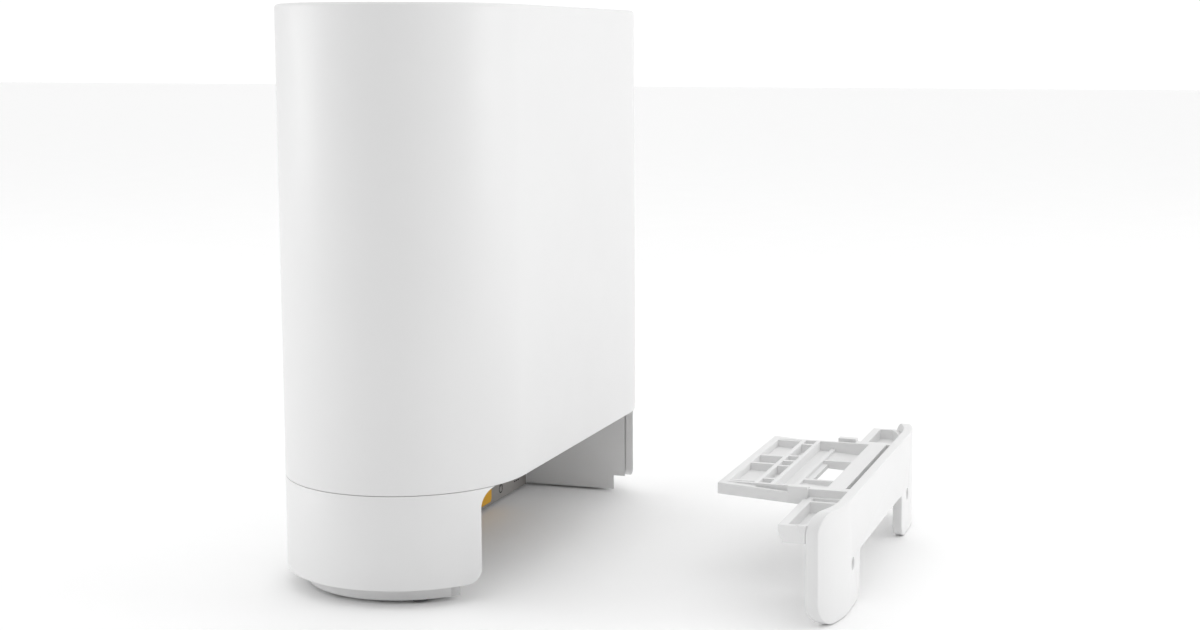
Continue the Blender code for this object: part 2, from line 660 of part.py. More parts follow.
def make_small_button(name, z, radius, proud, travel):
    """Round button that slides in its hole, with a flange behind the wall and a tact switch."""
    back = -LINER_WALL - GAP - travel - STEM_BACK
    stem = rod_mesh(name, [(radius, back, proud)], "Y", 12)
    button = add_object(name, stem, "black_plastic", location=(SMALL_BUTTON_X, PORT_WALL_Y, z))
    high = -LINER_WALL - GAP
    flange_width, flange_thick = FLANGE
    collar = rod_mesh(name + "_collar", [(radius + flange_width, high - flange_thick, high)], "Y", 12)
    join(button, collar, location=button.location)
    front = PORT_WALL_Y + back - travel - GAP
    width, depth, height = TACT_SIZE
    switch = box_mesh(name.replace("button", "switch"), [
        (-width / 2, width / 2, BOARD_Y + GAP, front, -height / 2, height / 2)])
    add_object(name.replace("button", "switch"), switch, "plated_steel", location=(SMALL_BUTTON_X, 0.0, z))


def make_labels():
    """Printed strip under the ports and the raised colour field of the network ports."""
    y = PORT_WALL_Y + GAP
    strip = box_mesh("label_strip", [(-LABEL_HALF, LABEL_HALF, y, y + LABEL_THICK, *LABEL_Z)])
    add_object("label_strip", strip, "grey_label")
    y += LABEL_THICK + GAP
    low, high = LABEL_Z[0] + LAN_LABEL_MARGIN[0], LABEL_Z[1] - LAN_LABEL_MARGIN[1]
    field = outline_mesh("lan_label", rounded(rectangle(*LAN_LABEL_X, low, high, LAN_LABEL_RADIUS), 3),
                         y, y + LABEL_THICK, "Y")
    add_object("lan_label", field, "yellow_label")


# ---------------------------------------------------------------- inner works

def make_board():
    """Upright main board with a hole for each post screw."""
    mesh = box_mesh("main_board", [(-BOARD_HALF, BOARD_HALF, BOARD_Y - BOARD_THICK, BOARD_Y, *BOARD_Z)])
    board = add_object("main_board", mesh, "board_green")
    for side in (-1, 1):
        for z in POST_Z:
            hole = rod_mesh("board_hole", [(SCREW_SHANK_RADIUS + GAP, BOARD_Y - 4 * MM, BOARD_Y + MM)], "Y", 10)
            cut(board, hole, location=(side * POST_X, 0.0, z))


def make_chassis():
    """Upright plate with four posts that carry the board."""
    low, high = CHASSIS_Y
    plate = outline_mesh("chassis", rounded(rectangle(-CHASSIS_HALF, CHASSIS_HALF, *CHASSIS_Z, CHASSIS_RADIUS), 3),
                         low, high, "Y")
    chassis = add_object("chassis", plate, "white_abs")
    front = BOARD_Y + GAP
    for side in (-1, 1):
        for z in POST_Z:
            place = (side * POST_X, 0.0, z)
            join(chassis, rod_mesh("post", [(POST_RADIUS, front, low + MM)], "Y", 12), location=place)
            cut(chassis, rod_mesh("post_bore", [(POST_BORE_RADIUS, front - MM, front + POST_BORE_DEPTH)], "Y", 10),
                location=place)


def make_board_screws():
    """Four screws through the board into the posts."""
    number = 0
    for side in (-1, 1):
        for z in POST_Z:
            number += 1
            mesh = turned_mesh("board_screw", screw_outline(BOARD_SCREW_LENGTH), 10)
            head = BOARD_Y - BOARD_THICK - GAP - SCREW_HEAD_HEIGHT
            screw = add_object(f"board_screw_{number}", mesh, "plated_steel", location=(side * POST_X, head, z))
            screw.rotation_euler = (-math.pi / 2, 0.0, 0.0)


def make_heat_sink():
    """Finned block on the board, over its thermal pad."""
    low_z, high_z = SINK_Z
    pad_back = BOARD_Y + GAP
    pad = box_mesh("thermal_pad", [(-PAD_HALF, PAD_HALF, pad_back, pad_back + PAD_THICK, *PAD_Z)])
    add_object("thermal_pad", pad, "thermal_grey")
    base_y = pad_back + PAD_THICK + GAP
    pitch = (2 * SINK_HALF - FIN_THICK) / (FIN_COUNT - 1)
    block = box_mesh("heat_sink", [(-SINK_HALF, SINK_HALF, base_y, base_y + SINK_DEPTH, low_z, high_z)])
    sink = add_object("heat_sink", block, "aluminium")
    channels = [(-SINK_HALF + i * pitch + FIN_THICK, -SINK_HALF + (i + 1) * pitch, base_y + SINK_BASE,
                 base_y + SINK_DEPTH + MM, low_z - MM, high_z + MM) for i in range(FIN_COUNT - 1)]
    cut(sink, box_mesh("fin_channels", channels))


def make_shields():
    """Pressed cans over the radio circuits, on the board's front."""
    back = BOARD_Y - BOARD_THICK - GAP
    for name, (x0, x1, z0, z1) in (("radio_shield_lower", SHIELD_LOWER), ("radio_shield_upper", SHIELD_UPPER)):
        can = box_mesh(name, [(x0, x1, back - SHIELD_DEPTH, back, z0, z1)])
        add_object(name, can, "plated_steel")


def make_antennas():
    """Four flat antennas on the chassis."""
    width, thick, height = ANTENNA_SIZE
    y = CHASSIS_Y[1] + GAP
    number = 0
    for side in (-1, 1):
        for z in ANTENNA_Z:
            number += 1
            plate = box_mesh("antenna", [(-width / 2, width / 2, 0.0, thick, -height / 2, height / 2)])
            add_object(f"antenna_{number}", plate, "copper_plate", location=(side * ANTENNA_X, y, z))


# ---------------------------------------------------------------- cable cover

def make_cover_plate():
    """Curved plate that closes the bay: two legs, an arch for the cables and two screw holes."""
    corners = [(-PLATE_HALF, 0.0, PLATE_FOOT_RADIUS), (-ARCH_HALF, 0.0, LEG_INNER_RADIUS),
               (-ARCH_HALF, ARCH_TOP, ARCH_RADIUS), (ARCH_HALF, ARCH_TOP, ARCH_RADIUS),
               (ARCH_HALF, 0.0, LEG_INNER_RADIUS), (PLATE_HALF, 0.0, PLATE_FOOT_RADIUS),
               (PLATE_HALF, PLATE_TOP, PLATE_TOP_RADIUS), (-PLATE_HALF, PLATE_TOP, PLATE_TOP_RADIUS)]
    mesh = outline_mesh("cover_plate", rounded(corners, 4), 0.0, DEPTH / 2 + MM, "Y")
    plate = add_object("cover_plate", mesh, "white_abs", parent=COVER_AXIS)
    keep_inside(plate, outline_mesh("plate_outer", stadium(), -MM, SEAM_Z + MM))
    cut(plate, outline_mesh("plate_inner", stadium(PLATE_THICK), -2 * MM, SEAM_Z + 2 * MM))
    x, z, radius = COVER_HOLE
    for side in (-1, 1):
        hole = rod_mesh("cover_hole", [(radius, 20 * MM, DEPTH / 2 + MM)], "Y", 16)
        cut(plate, hole, location=(side * x, 0.0, z))


def tray_section(lift=0.0, back=DEPTH / 2):
    """Side view of the tray's underside, lifted by lift, closed above the tray's top."""
    tip, knee, root = TRAY_UNDER
    high = TRAY_TOP if lift == 0.0 else TRAY_CLEAR
    return [(TRAY_TIP_Y, tip + lift), (TRAY_KNEE_Y, knee + lift), (back, root + lift), (back, high),
            (TRAY_TIP_Y, high)]


def tray_pockets():
    """Pockets in the tray's top, as (x0, x1, y0, y1), from its tip to the plate."""
    inner = TRAY_HALF - 2 * ARM_THICK - TRAY_RIB
    pockets = []
    for row, ribs in enumerate(TRAY_RIBS):
        y0 = TRAY_TIP_Y + TRAY_ROWS[row]
        y1 = TRAY_TIP_Y + TRAY_ROWS[row + 1] - (TRAY_RIB if row + 1 < len(TRAY_RIBS) else 0.0)
        stops = [-inner] + [x * MM + end for x in ribs for end in (-TRAY_RIB / 2, TRAY_RIB / 2)] + [inner]
        pockets += [(stops[i], stops[i + 1], y0, y1) for i in range(0, len(stops), 2)]
    return pockets


def make_tray():
    """Ribbed tray and its two shoulder troughs, behind the cover's plate."""
    mesh = outline_mesh("cover_tray", tray_section(), -TRAY_HALF, TRAY_HALF, "X")
    tray = add_object("cover_tray", mesh, "white_abs", parent=COVER_AXIS)
    for i, (x0, x1, y0, y1) in enumerate(tray_pockets()):
        floor = clip_section(tray_section(lift=TRAY_FLOOR), y0, y1)
        cut(tray, outline_mesh(f"tray_pocket_{i}", floor, x0, x1, "X"))
    tip = TRAY_TIP_Y
    inner = TRAY_HALF - 2 * ARM_THICK - TRAY_RIB
    step = (-inner, inner, tip + TRAY_ROWS[2], tip + TRAY_ROWS[4], RAIL_TOP, TRAY_CLEAR)
    window = (-WINDOW_HALF, WINDOW_HALF, tip + WINDOW_START, tip + TRAY_ROWS[4], 0.0, TRAY_CLEAR)
    slot = (SLOT_END - TRAY_HALF, TRAY_HALF - SLOT_END, tip + SLOT_Y[0], tip + SLOT_Y[1], 0.0, TRAY_CLEAR)
    cut(tray, box_mesh("tray_step", [step]), box_mesh("tray_window", [window]), box_mesh("tray_slot", [slot]))
    for side in (-1, 1):
        side_arm(tray, side)
        shoulder(tray, side)
    keep_inside(tray, outline_mesh("tray_envelope", stadium(PLATE_THICK + GAP), 0.0, TRAY_CLEAR + MM))


def side_arm(tray, side):
    """Free a springy arm along one side of the tray, dip its top and add its clip."""
    outer, inner = TRAY_HALF, TRAY_HALF - ARM_THICK
    x0, x1 = sorted((side * (inner - ARM_THICK), side * (outer + MM)))
    dip = [(TRAY_TIP_Y + MM, TRAY_TOP), (CLIP_Y[0], TRAY_TOP - ARM_DIP), (CLIP_Y[1], TRAY_TOP - ARM_DIP),
           (CLIP_Y[1], TRAY_CLEAR), (TRAY_TIP_Y + MM, TRAY_CLEAR)]
    cut(tray, outline_mesh("arm_dip", dip, x0, x1, "X"))
    x0, x1 = sorted((side * (inner - ARM_THICK), side * inner))
    cut(tray, box_mesh("arm_slot", [(x0, x1, *ARM_SLOT_Y, 0.0, TRAY_CLEAR)]))
    x0, x1 = sorted((side * inner, side * (inner + CLIP_WIDTH)))
    join(tray, box_mesh("clip", [(x0, x1, *CLIP_Y, CLIP_BOTTOM, TRAY_TOP + CLIP_RISE)]))


def shoulder(tray, side):
    """Add a shoulder beside the tray and hollow it from above, leaving a cross rib."""
    low, high = SHOULDER_Z
    x0, x1 = sorted((side * (TRAY_HALF - ARM_THICK), side * PLATE_HALF))
    join(tray, outline_mesh("shoulder", rounded([
        (CLIP_Y[1] + GAP, low, 0.0), (DEPTH / 2 + MM, low, 0.0), (DEPTH / 2 + MM, high, 0.0),
        (CLIP_Y[1] + GAP, high, 0.0)]), x0, x1, "X"))
    x0, x1 = sorted((side * (TRAY_HALF + CLIP_WIDTH), side * PLATE_HALF))
    join(tray, outline_mesh("shoulder_nose", rounded([
        (SHOULDER_Y, low, SHOULDER_RADIUS), (DEPTH / 2, low, 0.0), (DEPTH / 2, high, 0.0),
        (SHOULDER_Y, high, 0.0)]), x0, x1, "X"))
    start, rib_x = TRAY_HALF + TRAY_RIB, TRAY_HALF + TROUGH_RIB
    end = PLATE_HALF - TROUGH_RIM
    rim_y = CLIP_Y[1] + GAP + TROUGH_RIM
    for (x0, x1) in (sorted((side * start, side * rib_x)), sorted((side * (rib_x + TRAY_RIB), side * end))):
        trough = box_mesh("trough", [(x0, x1, rim_y, TROUGH_BACK, low + TROUGH_FLOOR, TRAY_CLEAR)])
        pocket = add_object("cut_trough", trough, None, COVER_AXIS)
        inside = outline_mesh("trough_envelope", stadium(PLATE_THICK + GAP + TROUGH_RIM), 0.0, TRAY_CLEAR + MM)
        keep_inside(pocket, inside)
        boolean(tray, "DIFFERENCE", pocket)


def clip_section(section, y0, y1):
    """The tray section's floor between two distances, as a closed outline."""
    (tip_y, tip_z), (knee_y, knee_z), (back_y, back_z) = section[:3]

    def floor_at(y):
        if y <= knee_y:
            return tip_z + (knee_z - tip_z) * (y - tip_y) / (knee_y - tip_y)
        return knee_z + (back_z - knee_z) * (y - knee_y) / (back_y - knee_y)

    high = section[3][1]
    middle = [(knee_y, knee_z)] if y0 < knee_y < y1 else []
    return [(y0, floor_at(y0)), *middle, (y1, floor_at(y1)), (y1, high), (y0, high)]


# ---------------------------------------------------------------- the whole object

make_upper_sleeve()
make_top_cover()
make_light()
make_lower_base()
make_port_housing()
make_base_pan()
make_feet()
make_base_screws()
make_jack("wan_jack", WAN_X)
for index, jack_x in enumerate(LAN_X, start=1):
    make_jack(f"lan_jack_{index}", jack_x)
make_usb()
make_dc_jack()
make_power_button()
make_small_button("wps_button", WPS_Z, WPS_RADIUS, WPS_PROUD, WPS_TRAVEL)
make_small_button("reset_button", RESET_Z, RESET_RADIUS, -RESET_SUNK, RESET_TRAVEL)
make_labels()
make_board()
make_chassis()
make_board_screws()
make_heat_sink()
make_shields()
make_antennas()
make_cover_plate()
make_tray()
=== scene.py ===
"""Looks of a tall mesh wifi node and its slide-in cable cover.

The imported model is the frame. The sleeve, skirt, top and cover plate are modelled again here with fine
curves and soft edges, the ribbed and pocketed mouldings are edge-softened copies of their CAD solids,
and the ports get their contacts, tongues and printed marks.
"""
from __future__ import annotations

import logging
import math
from collections.abc import Callable, Iterable, Sequence
from dataclasses import dataclass, field
from enum import Enum

import bmesh
import bpy
from mathutils import Matrix, Vector


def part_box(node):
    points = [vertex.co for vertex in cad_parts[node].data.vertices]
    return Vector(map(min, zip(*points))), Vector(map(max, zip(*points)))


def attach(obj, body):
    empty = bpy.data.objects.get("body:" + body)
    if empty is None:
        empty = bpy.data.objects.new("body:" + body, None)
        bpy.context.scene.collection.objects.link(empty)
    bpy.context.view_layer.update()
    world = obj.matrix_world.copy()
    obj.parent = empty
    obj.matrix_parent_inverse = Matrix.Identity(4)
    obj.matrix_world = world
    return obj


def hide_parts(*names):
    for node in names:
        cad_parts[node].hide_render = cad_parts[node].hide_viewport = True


logging.basicConfig(level=logging.INFO, format="%(name)s: %(message)s")
LOG = logging.getLogger("mesh_node")
MM = 0.001
# The two bodies that most pieces ride on.
UNIT = "unit"
COVER = "cover"
# Positions closer than CLOSE count as level, and vertices closer than WELD as one.
CLOSE = 1e-6
WELD = 1e-7
# Real sizes of a colour's slow drift and of the patches in a polish, in millimetres.
DRIFT_MM = 35.0
POLISH_MM = 9.0
# Die lines run along Z, so their pattern is stretched that way.
DIE_LINES = (1.0, 1.0, 0.02)

Point = tuple[float, float, float]


# ---- materials

def linear(hex_colour: str) -> tuple[float, float, float, float]:
    """Turn an sRGB hex colour into linear RGBA.

    Args:
        hex_colour: Six hex digits, such as "F2F2F0".

    Returns:
        Linear red, green, blue and an alpha of 1.
    """
    channels = [int(hex_colour[i:i + 2], 16) / 255 for i in (0, 2, 4)]
    values = [c / 12.92 if c <= 0.04045 else ((c + 0.055) / 1.055) ** 2.4 for c in channels]
    return values[0], values[1], values[2], 1.0


def add_node(tree: bpy.types.NodeTree, kind: str, settings: dict[str, object] | None = None,
             inputs: dict[str, object] | None = None) -> bpy.types.Node:
    """Add a node with its settings, and set or link its inputs.

    Args:
        tree: The material's node tree.
        kind: The node's type name.
        settings: Attributes of the node itself.
        inputs: Socket name to a value, or to another node's output socket.

    Returns:
        The new node.
    """
    node = tree.nodes.new(kind)
    for name, value in (settings or {}).items():
        setattr(node, name, value)
    for name, value in (inputs or {}).items():
        if isinstance(value, bpy.types.NodeSocket):
            tree.links.new(value, node.inputs[name])
        else:
            node.inputs[name].default_value = value
    return node


def noise(tree: bpy.types.NodeTree, place: bpy.types.NodeSocket, size_mm: float, detail: float,
          roughness: float) -> bpy.types.NodeSocket:
    """Add a noise pattern of a real size.

    Args:
        tree: The material's node tree.
        place: The coordinates that it lies on, in metres.
        size_mm: Size of its features, in millimetres.
        detail: Number of finer octaves.
        roughness: Strength of the finer octaves.

    Returns:
        The pattern's value, from 0 to 1.
    """
    pattern = add_node(tree, "ShaderNodeTexNoise", inputs={
        "Vector": place, "Scale": 1 / (size_mm * MM), "Detail": detail, "Roughness": roughness})
    return pattern.outputs["Fac"]


class Surface(Enum):
    """How a surface was made, which decides the pattern of its fine relief."""

    MOULDED = "moulded"
    PRINTED = "printed"
    PLATED = "plated"
    EXTRUDED = "extruded"


@dataclass(frozen=True)
class Finish:
    """One real material and how it looks.

    Attributes:
        name: The material's common name.
        colour: sRGB hex of its main colour.
        shade: sRGB hex that it drifts to over a few centimetres.
        roughness: Lowest and highest roughness across the surface.
        grain_mm: Size of the fine relief, in millimetres.
        relief_mm: Height of the fine relief, in millimetres.
        metallic: 1 for a metal.
        transmission: How much light passes through.
        ior: Index of refraction.
        surface: How it was made.
    """

    name: str
    colour: str
    shade: str
    roughness: tuple[float, float]
    grain_mm: float
    relief_mm: float
    metallic: float = 0.0
    transmission: float = 0.0
    ior: float = 1.5
    surface: Surface = Surface.MOULDED

    def build(self) -> bpy.types.Material:
        """Make the node material.

        Returns:
            The material, its patterns on Object coordinates at real sizes.
        """
        material = bpy.data.materials.new(self.name)
        material.use_nodes = True
        tree = material.node_tree
        shader = tree.nodes["Principled BSDF"]
        shader.inputs["Metallic"].default_value = self.metallic
        shader.inputs["IOR"].default_value = self.ior
        shader.inputs["Transmission Weight"].default_value = self.transmission
        place = add_node(tree, "ShaderNodeTexCoord").outputs["Object"]
        if self.surface is Surface.EXTRUDED:
            stretched = add_node(tree, "ShaderNodeMapping", inputs={"Vector": place, "Scale": DIE_LINES})
            place = stretched.outputs["Vector"]
        drift = noise(tree, place, DRIFT_MM, 2.0, 0.5)
        mix = add_node(tree, "ShaderNodeMix", {"data_type": "RGBA"})
        tree.links.new(drift, mix.inputs[0])
        mix.inputs[6].default_value = linear(self.colour)
        mix.inputs[7].default_value = linear(self.shade)
        tree.links.new(mix.outputs[2], shader.inputs["Base Color"])
        polish = noise(tree, place, POLISH_MM, 4.0, 0.6)
        low, high = self.roughness
        spread = add_node(tree, "ShaderNodeMapRange", inputs={
            "Value": polish, "From Min": 0.3, "From Max": 0.7, "To Min": low, "To Max": high})
        tree.links.new(spread.outputs["Result"], shader.inputs["Roughness"])
        grain = noise(tree, place, self.grain_mm, 3.0, 0.55)
        bump = add_node(tree, "ShaderNodeBump", inputs={
            "Height": grain, "Distance": self.relief_mm * MM, "Strength": 1.0})
        tree.links.new(bump.outputs["Normal"], shader.inputs["Normal"])
        return material


# Moulded from a finely spark-eroded tool: soft wide highlights and a barely visible grain.
WHITE_ABS = Finish("white_abs_satin", "E8E8E8", "E5E5E5", (0.40, 0.48), 0.9, 0.006)
# The liner and tray come from the same plastic off a plainer tool, a touch duller.
LINER_ABS = Finish("white_abs_inner", "E4E4E4", "DFDFDF", (0.48, 0.58), 0.8, 0.008)
# Printed polyester film: flat colour, faint orange peel.
GREY_FILM = Finish("grey_printed_film", "A3A09D", "9A9794", (0.42, 0.5), 1.4, 0.004,
                   surface=Surface.PRINTED)
YELLOW_FILM = Finish("yellow_printed_film", "F2B705", "EBAE00", (0.4, 0.46), 1.4, 0.004,
                     surface=Surface.PRINTED)
# Screen ink, thin and dry.
DARK_INK = Finish("dark_ink", "1C1C1E", "232326", (0.5, 0.6), 0.6, 0.003,
                  surface=Surface.PRINTED)
# Glass-filled nylon of connectors and buttons: dark, dry, slightly mottled.
BLACK_NYLON = Finish("black_nylon", "1D1D1F", "262628", (0.45, 0.58), 0.5, 0.008)
# Silicone rubber pads: matt, with a dusty drift.
RUBBER = Finish("grey_silicone_rubber", "6A6A6C", "5F5F61", (0.72, 0.85), 0.5, 0.02)
# Nickel plate over pressed steel: bright with faint rolling marks.
NICKEL = Finish("nickel_plated_steel", "C9C7C2", "BDBBB6", (0.2, 0.32), 0.4, 0.003,
                metallic=1.0, surface=Surface.PLATED)
# Gold flash on the spring contacts.
GOLD = Finish("gold_flash", "E6B85C", "DDAE50", (0.18, 0.26), 0.4, 0.002,
              metallic=1.0, surface=Surface.PLATED)
# Stamped bronze sheet of the antennas.
COPPER = Finish("tin_bronze_sheet", "C88A5A", "B87C50", (0.3, 0.42), 0.6, 0.004,
                metallic=1.0, surface=Surface.PLATED)
# Extruded fins: long die lines along the fins.
ALUMINIUM = Finish("extruded_aluminium", "C4C6C8", "B8BABC", (0.32, 0.45), 0.5, 0.01,
                   metallic=1.0, surface=Surface.EXTRUDED)
# Solder mask over copper: glossy deep green that shows the traces as a mottle.
SOLDER_MASK = Finish("green_solder_mask", "12502B", "0C3B20", (0.25, 0.4), 1.2, 0.03)
# Soft filled pad between the chip and the heat sink.
GAP_PAD = Finish("filled_silicone_pad", "8A90A0", "7F8594", (0.8, 0.9), 0.7, 0.03)
# Polished polycarbonate light pipe.
LENS = Finish("clear_polycarbonate", "F4F6F8", "EEF2F6", (0.06, 0.1), 2.0, 0.001,
              transmission=0.85, ior=1.585)
# Seamless studio paper, pale and plain.
PAPER = Finish("studio_paper", "FFFFFF", "FDFDFD", (0.85, 0.95), 3.0, 0.01)


class Palette:
    """Builds each finish once and hands it out."""

    def __init__(self) -> None:
        """Start with no materials."""
        self._made: dict[str, bpy.types.Material] = {}

    def get(self, finish: Finish) -> bpy.types.Material:
        """Return the material of a finish, building it the first time.

        Args:
            finish: The finish.

        Returns:
            Its material.
        """
        if finish.name not in self._made:
            self._made[finish.name] = finish.build()
        return self._made[finish.name]


PALETTE = Palette()


# ---- mesh helpers

def to_mesh(work: bmesh.types.BMesh, name: str, smooth_degrees: float = 32.0) -> bpy.types.Mesh:
    """Turn a bmesh into a mesh, shaded smooth with its creases kept.

    Args:
        work: The bmesh, which is freed.
        name: The mesh's name.
        smooth_degrees: Edges sharper than this stay crisp.

    Returns:
        The mesh.
    """
    mesh = bpy.data.meshes.new(name)
    work.to_mesh(mesh)
    work.free()
    mesh.shade_smooth()
    mesh.set_sharp_from_angle(angle=math.radians(smooth_degrees))
    return mesh


def add_piece(mesh: bpy.types.Mesh, name: str, finish: Finish, body: str, replaced: Sequence[str] = ()) -> bpy.types.Object:
    """Put a mesh in the scene as a piece that rides on a body.

    Args:
        mesh: The finished mesh, in the frame's place.
        name: The piece's name.
        finish: Its material.
        body: The body that it rides on.
        replaced: CAD nodes that it stands for.

    Returns:
        The object.
    """
    piece = bpy.data.objects.new(name, mesh)
    bpy.context.scene.collection.objects.link(piece)
    mesh.materials.clear()
    mesh.materials.append(PALETTE.get(finish))
    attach(piece, body)
    if replaced:
        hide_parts(*replaced)
    LOG.info("%s: %d faces on %s", name, len(mesh.polygons), body)
    return piece


def box(work: bmesh.types.BMesh, low: Point, high: Point) -> list[bmesh.types.BMVert]:
    """Add a box between two corners.

    Args:
        work: The bmesh that it goes in.
        low: Its lowest corner.
        high: Its highest corner.

    Returns:
        The box's vertices.
    """
    verts = bmesh.ops.create_cube(work, size=1.0)["verts"]
    sizes = [b - a for a, b in zip(low, high)]
    middle = [(a + b) / 2 for a, b in zip(low, high)]
    bmesh.ops.scale(work, vec=sizes, verts=verts)
    bmesh.ops.translate(work, vec=middle, verts=verts)
    return verts


def round_edges(work: bmesh.types.BMesh, edges: Iterable[bmesh.types.BMEdge], width: float,
                segments: int = 3) -> None:
    """Bevel edges to a quarter round.

    Args:
        work: The bmesh.
        edges: The edges to round.
        width: The round's radius.
        segments: Facets of the round.
    """
    bmesh.ops.bevel(work, geom=list(edges), offset=width, offset_type="OFFSET", segments=segments,
                    profile=0.5, affect="EDGES", material=-1, clamp_overlap=True)


def sharp_edges(work: bmesh.types.BMesh, wanted: Callable[[bmesh.types.BMEdge], bool],
                degrees: float = 50.0) -> list[bmesh.types.BMEdge]:
    """Pick the edges that turn by more than an angle.

    Args:
        work: The bmesh.
        wanted: A further test on each edge.
        degrees: The least turn between the edge's two faces.

    Returns:
        The edges that pass.
    """
    limit = math.radians(degrees)
    return [edge for edge in work.edges
            if len(edge.link_faces) == 2 and edge.calc_face_angle(0.0) > limit and wanted(edge)]


def level_at(height: float) -> Callable[[bmesh.types.BMEdge], bool]:
    """Make a test for edges that lie level at a height.

    Args:
        height: The height.

    Returns:
        The test.
    """
    return lambda edge: all(abs(vert.co.z - height) < CLOSE for vert in edge.verts)


def upright_edges(work: bmesh.types.BMesh, least: float) -> list[bmesh.types.BMEdge]:
    """Pick the edges that rise by more than a height.

    Args:
        work: The bmesh.
        least: The height.

    Returns:
        The edges.
    """
    return [edge for edge in work.edges if abs(edge.verts[0].co.z - edge.verts[1].co.z) > least]


def rod(work: bmesh.types.BMesh, middle: Point, radius: float, length: float, turn: str,
        segments: int) -> None:
    """Add a level round rod with flat ends.

    Args:
        work: The bmesh that it goes in.
        middle: Its middle.
        radius: Its radius.
        length: Its length.
        turn: The axis that it is tipped about: X lays it along Y, and Y lays it along X.
        segments: Facets round it.
    """
    place = Matrix.Translation(middle) @ Matrix.Rotation(math.pi / 2, 4, turn)
    bmesh.ops.create_cone(work, cap_ends=True, segments=segments, radius1=radius, radius2=radius,
                          depth=length, matrix=place)


def soft_box(name: str, low: Point, high: Point, radius: float, segments: int = 2) -> bpy.types.Mesh:
    """Make a box with all its edges rounded.

    Args:
        name: The mesh's name.
        low: Its lowest corner.
        high: Its highest corner.
        radius: Round of its edges.
        segments: Facets of each round.

    Returns:
        The mesh.
    """
    work = bmesh.new()
    box(work, low, high)
    round_edges(work, work.edges, radius, segments)
    return to_mesh(work, name, 60.0)


def flat_plate(corners: Sequence[Point], thick: float, rim: float) -> bmesh.types.BMesh:
    """Make an upright plate cut to an outline of straight sides and round corners.

    Args:
        corners: Each corner's distance along the plate, its height and its radius.
        thick: The plate's thickness, inwards from its face at y = 0.
        rim: Radius of the soft edge round both faces, or 0 for none.

    Returns:
        The plate, its length along X and its face towards +Y.
    """
    work = bmesh.new()
    face = work.faces.new([work.verts.new((x, 0.0, z)) for x, z, _ in corners])
    raised = bmesh.ops.extrude_face_region(work, geom=[face])["geom"]
    moved = [item for item in raised if isinstance(item, bmesh.types.BMVert)]
    bmesh.ops.translate(work, vec=(0.0, -thick, 0.0), verts=moved)
    bmesh.ops.recalc_face_normals(work, faces=work.faces)
    for radius in sorted({radius for _, _, radius in corners if radius > 0}, reverse=True):
        spots = [(x, z) for x, z, r in corners if r == radius]
        across = [edge for edge in work.edges
                  if abs(edge.verts[0].co.y - edge.verts[1].co.y) > thick / 2
                  and any(math.dist(edge.verts[0].co.xz, spot) < CLOSE for spot in spots)]
        round_edges(work, across, radius, 10)
    if rim > 0:
        rims = [edge for edge in work.edges if abs(edge.verts[0].co.y - edge.verts[1].co.y) < WELD
                and edge.calc_face_angle(0.0) > 1.0]
        round_edges(work, rims, rim, 3)
    return work


def slice_along(work: bmesh.types.BMesh, start: float, end: float, step: float) -> None:
    """Cut a flat sheet across its length at equal steps, so that it can bend.

    Args:
        work: The sheet, its length along X.
        start: First cut.
        end: Last cut.
        step: Largest distance between cuts.
    """
    count = max(1, math.ceil((end - start) / step))
    for i in range(count + 1):
        here = start + (end - start) * i / count
        geometry = [*work.verts, *work.edges, *work.faces]
        bmesh.ops.bisect_plane(work, geom=geometry, dist=WELD, plane_co=(here, 0, 0),
                               plane_no=(1, 0, 0))


def cad_copy(node: str, rim: float) -> bmesh.types.BMesh:
    """Make a merged copy of a CAD node with its flat faces whole and its sharp edges softened.

    Args:
        node: The CAD node's name.
        rim: Radius of the soft edges.

    Returns:
        The copy.
    """
    work = bmesh.new()
    work.from_mesh(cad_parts[node].data)
    bmesh.ops.remove_doubles(work, verts=work.verts, dist=0.004 * MM)
    bmesh.ops.dissolve_limit(work, angle_limit=math.radians(0.6), verts=work.verts, edges=work.edges)
    if rim > 0:
        round_edges(work, sharp_edges(work, lambda edge: edge.calc_length() > 2 * rim), rim, 2)
    return work


def add_softened(node: str, name: str, rim: float, finish: Finish, body: str = UNIT) -> None:
    """Add an edge-softened copy of a CAD node in its place.

    Args:
        node: The CAD node's name.
        name: The piece's name.
        rim: Radius of the soft edges.
        finish: Its material.
        body: The body that it rides on.
    """
    add_piece(to_mesh(cad_copy(node, rim), node), name, finish, body, [node])


def boolean_cut(target: bpy.types.Mesh, cutter: bpy.types.Mesh) -> bpy.types.Mesh:
    """Cut one mesh out of another.

    Args:
        target: The mesh that keeps its shape elsewhere.
        cutter: The closed mesh that is taken away.

    Returns:
        A new mesh.
    """
    scene = bpy.context.scene.collection
    body = bpy.data.objects.new("cut_target", target)
    tool = bpy.data.objects.new("cut_tool", cutter)
    scene.objects.link(body)
    scene.objects.link(tool)
    modifier = body.modifiers.new("cut", "BOOLEAN")
    modifier.object = tool
    modifier.operation = "DIFFERENCE"
    bpy.context.view_layer.update()
    graph = bpy.context.evaluated_depsgraph_get()
    result = bpy.data.meshes.new_from_object(body.evaluated_get(graph))
    for thing in (body, tool):
        bpy.data.objects.remove(thing)
    return result


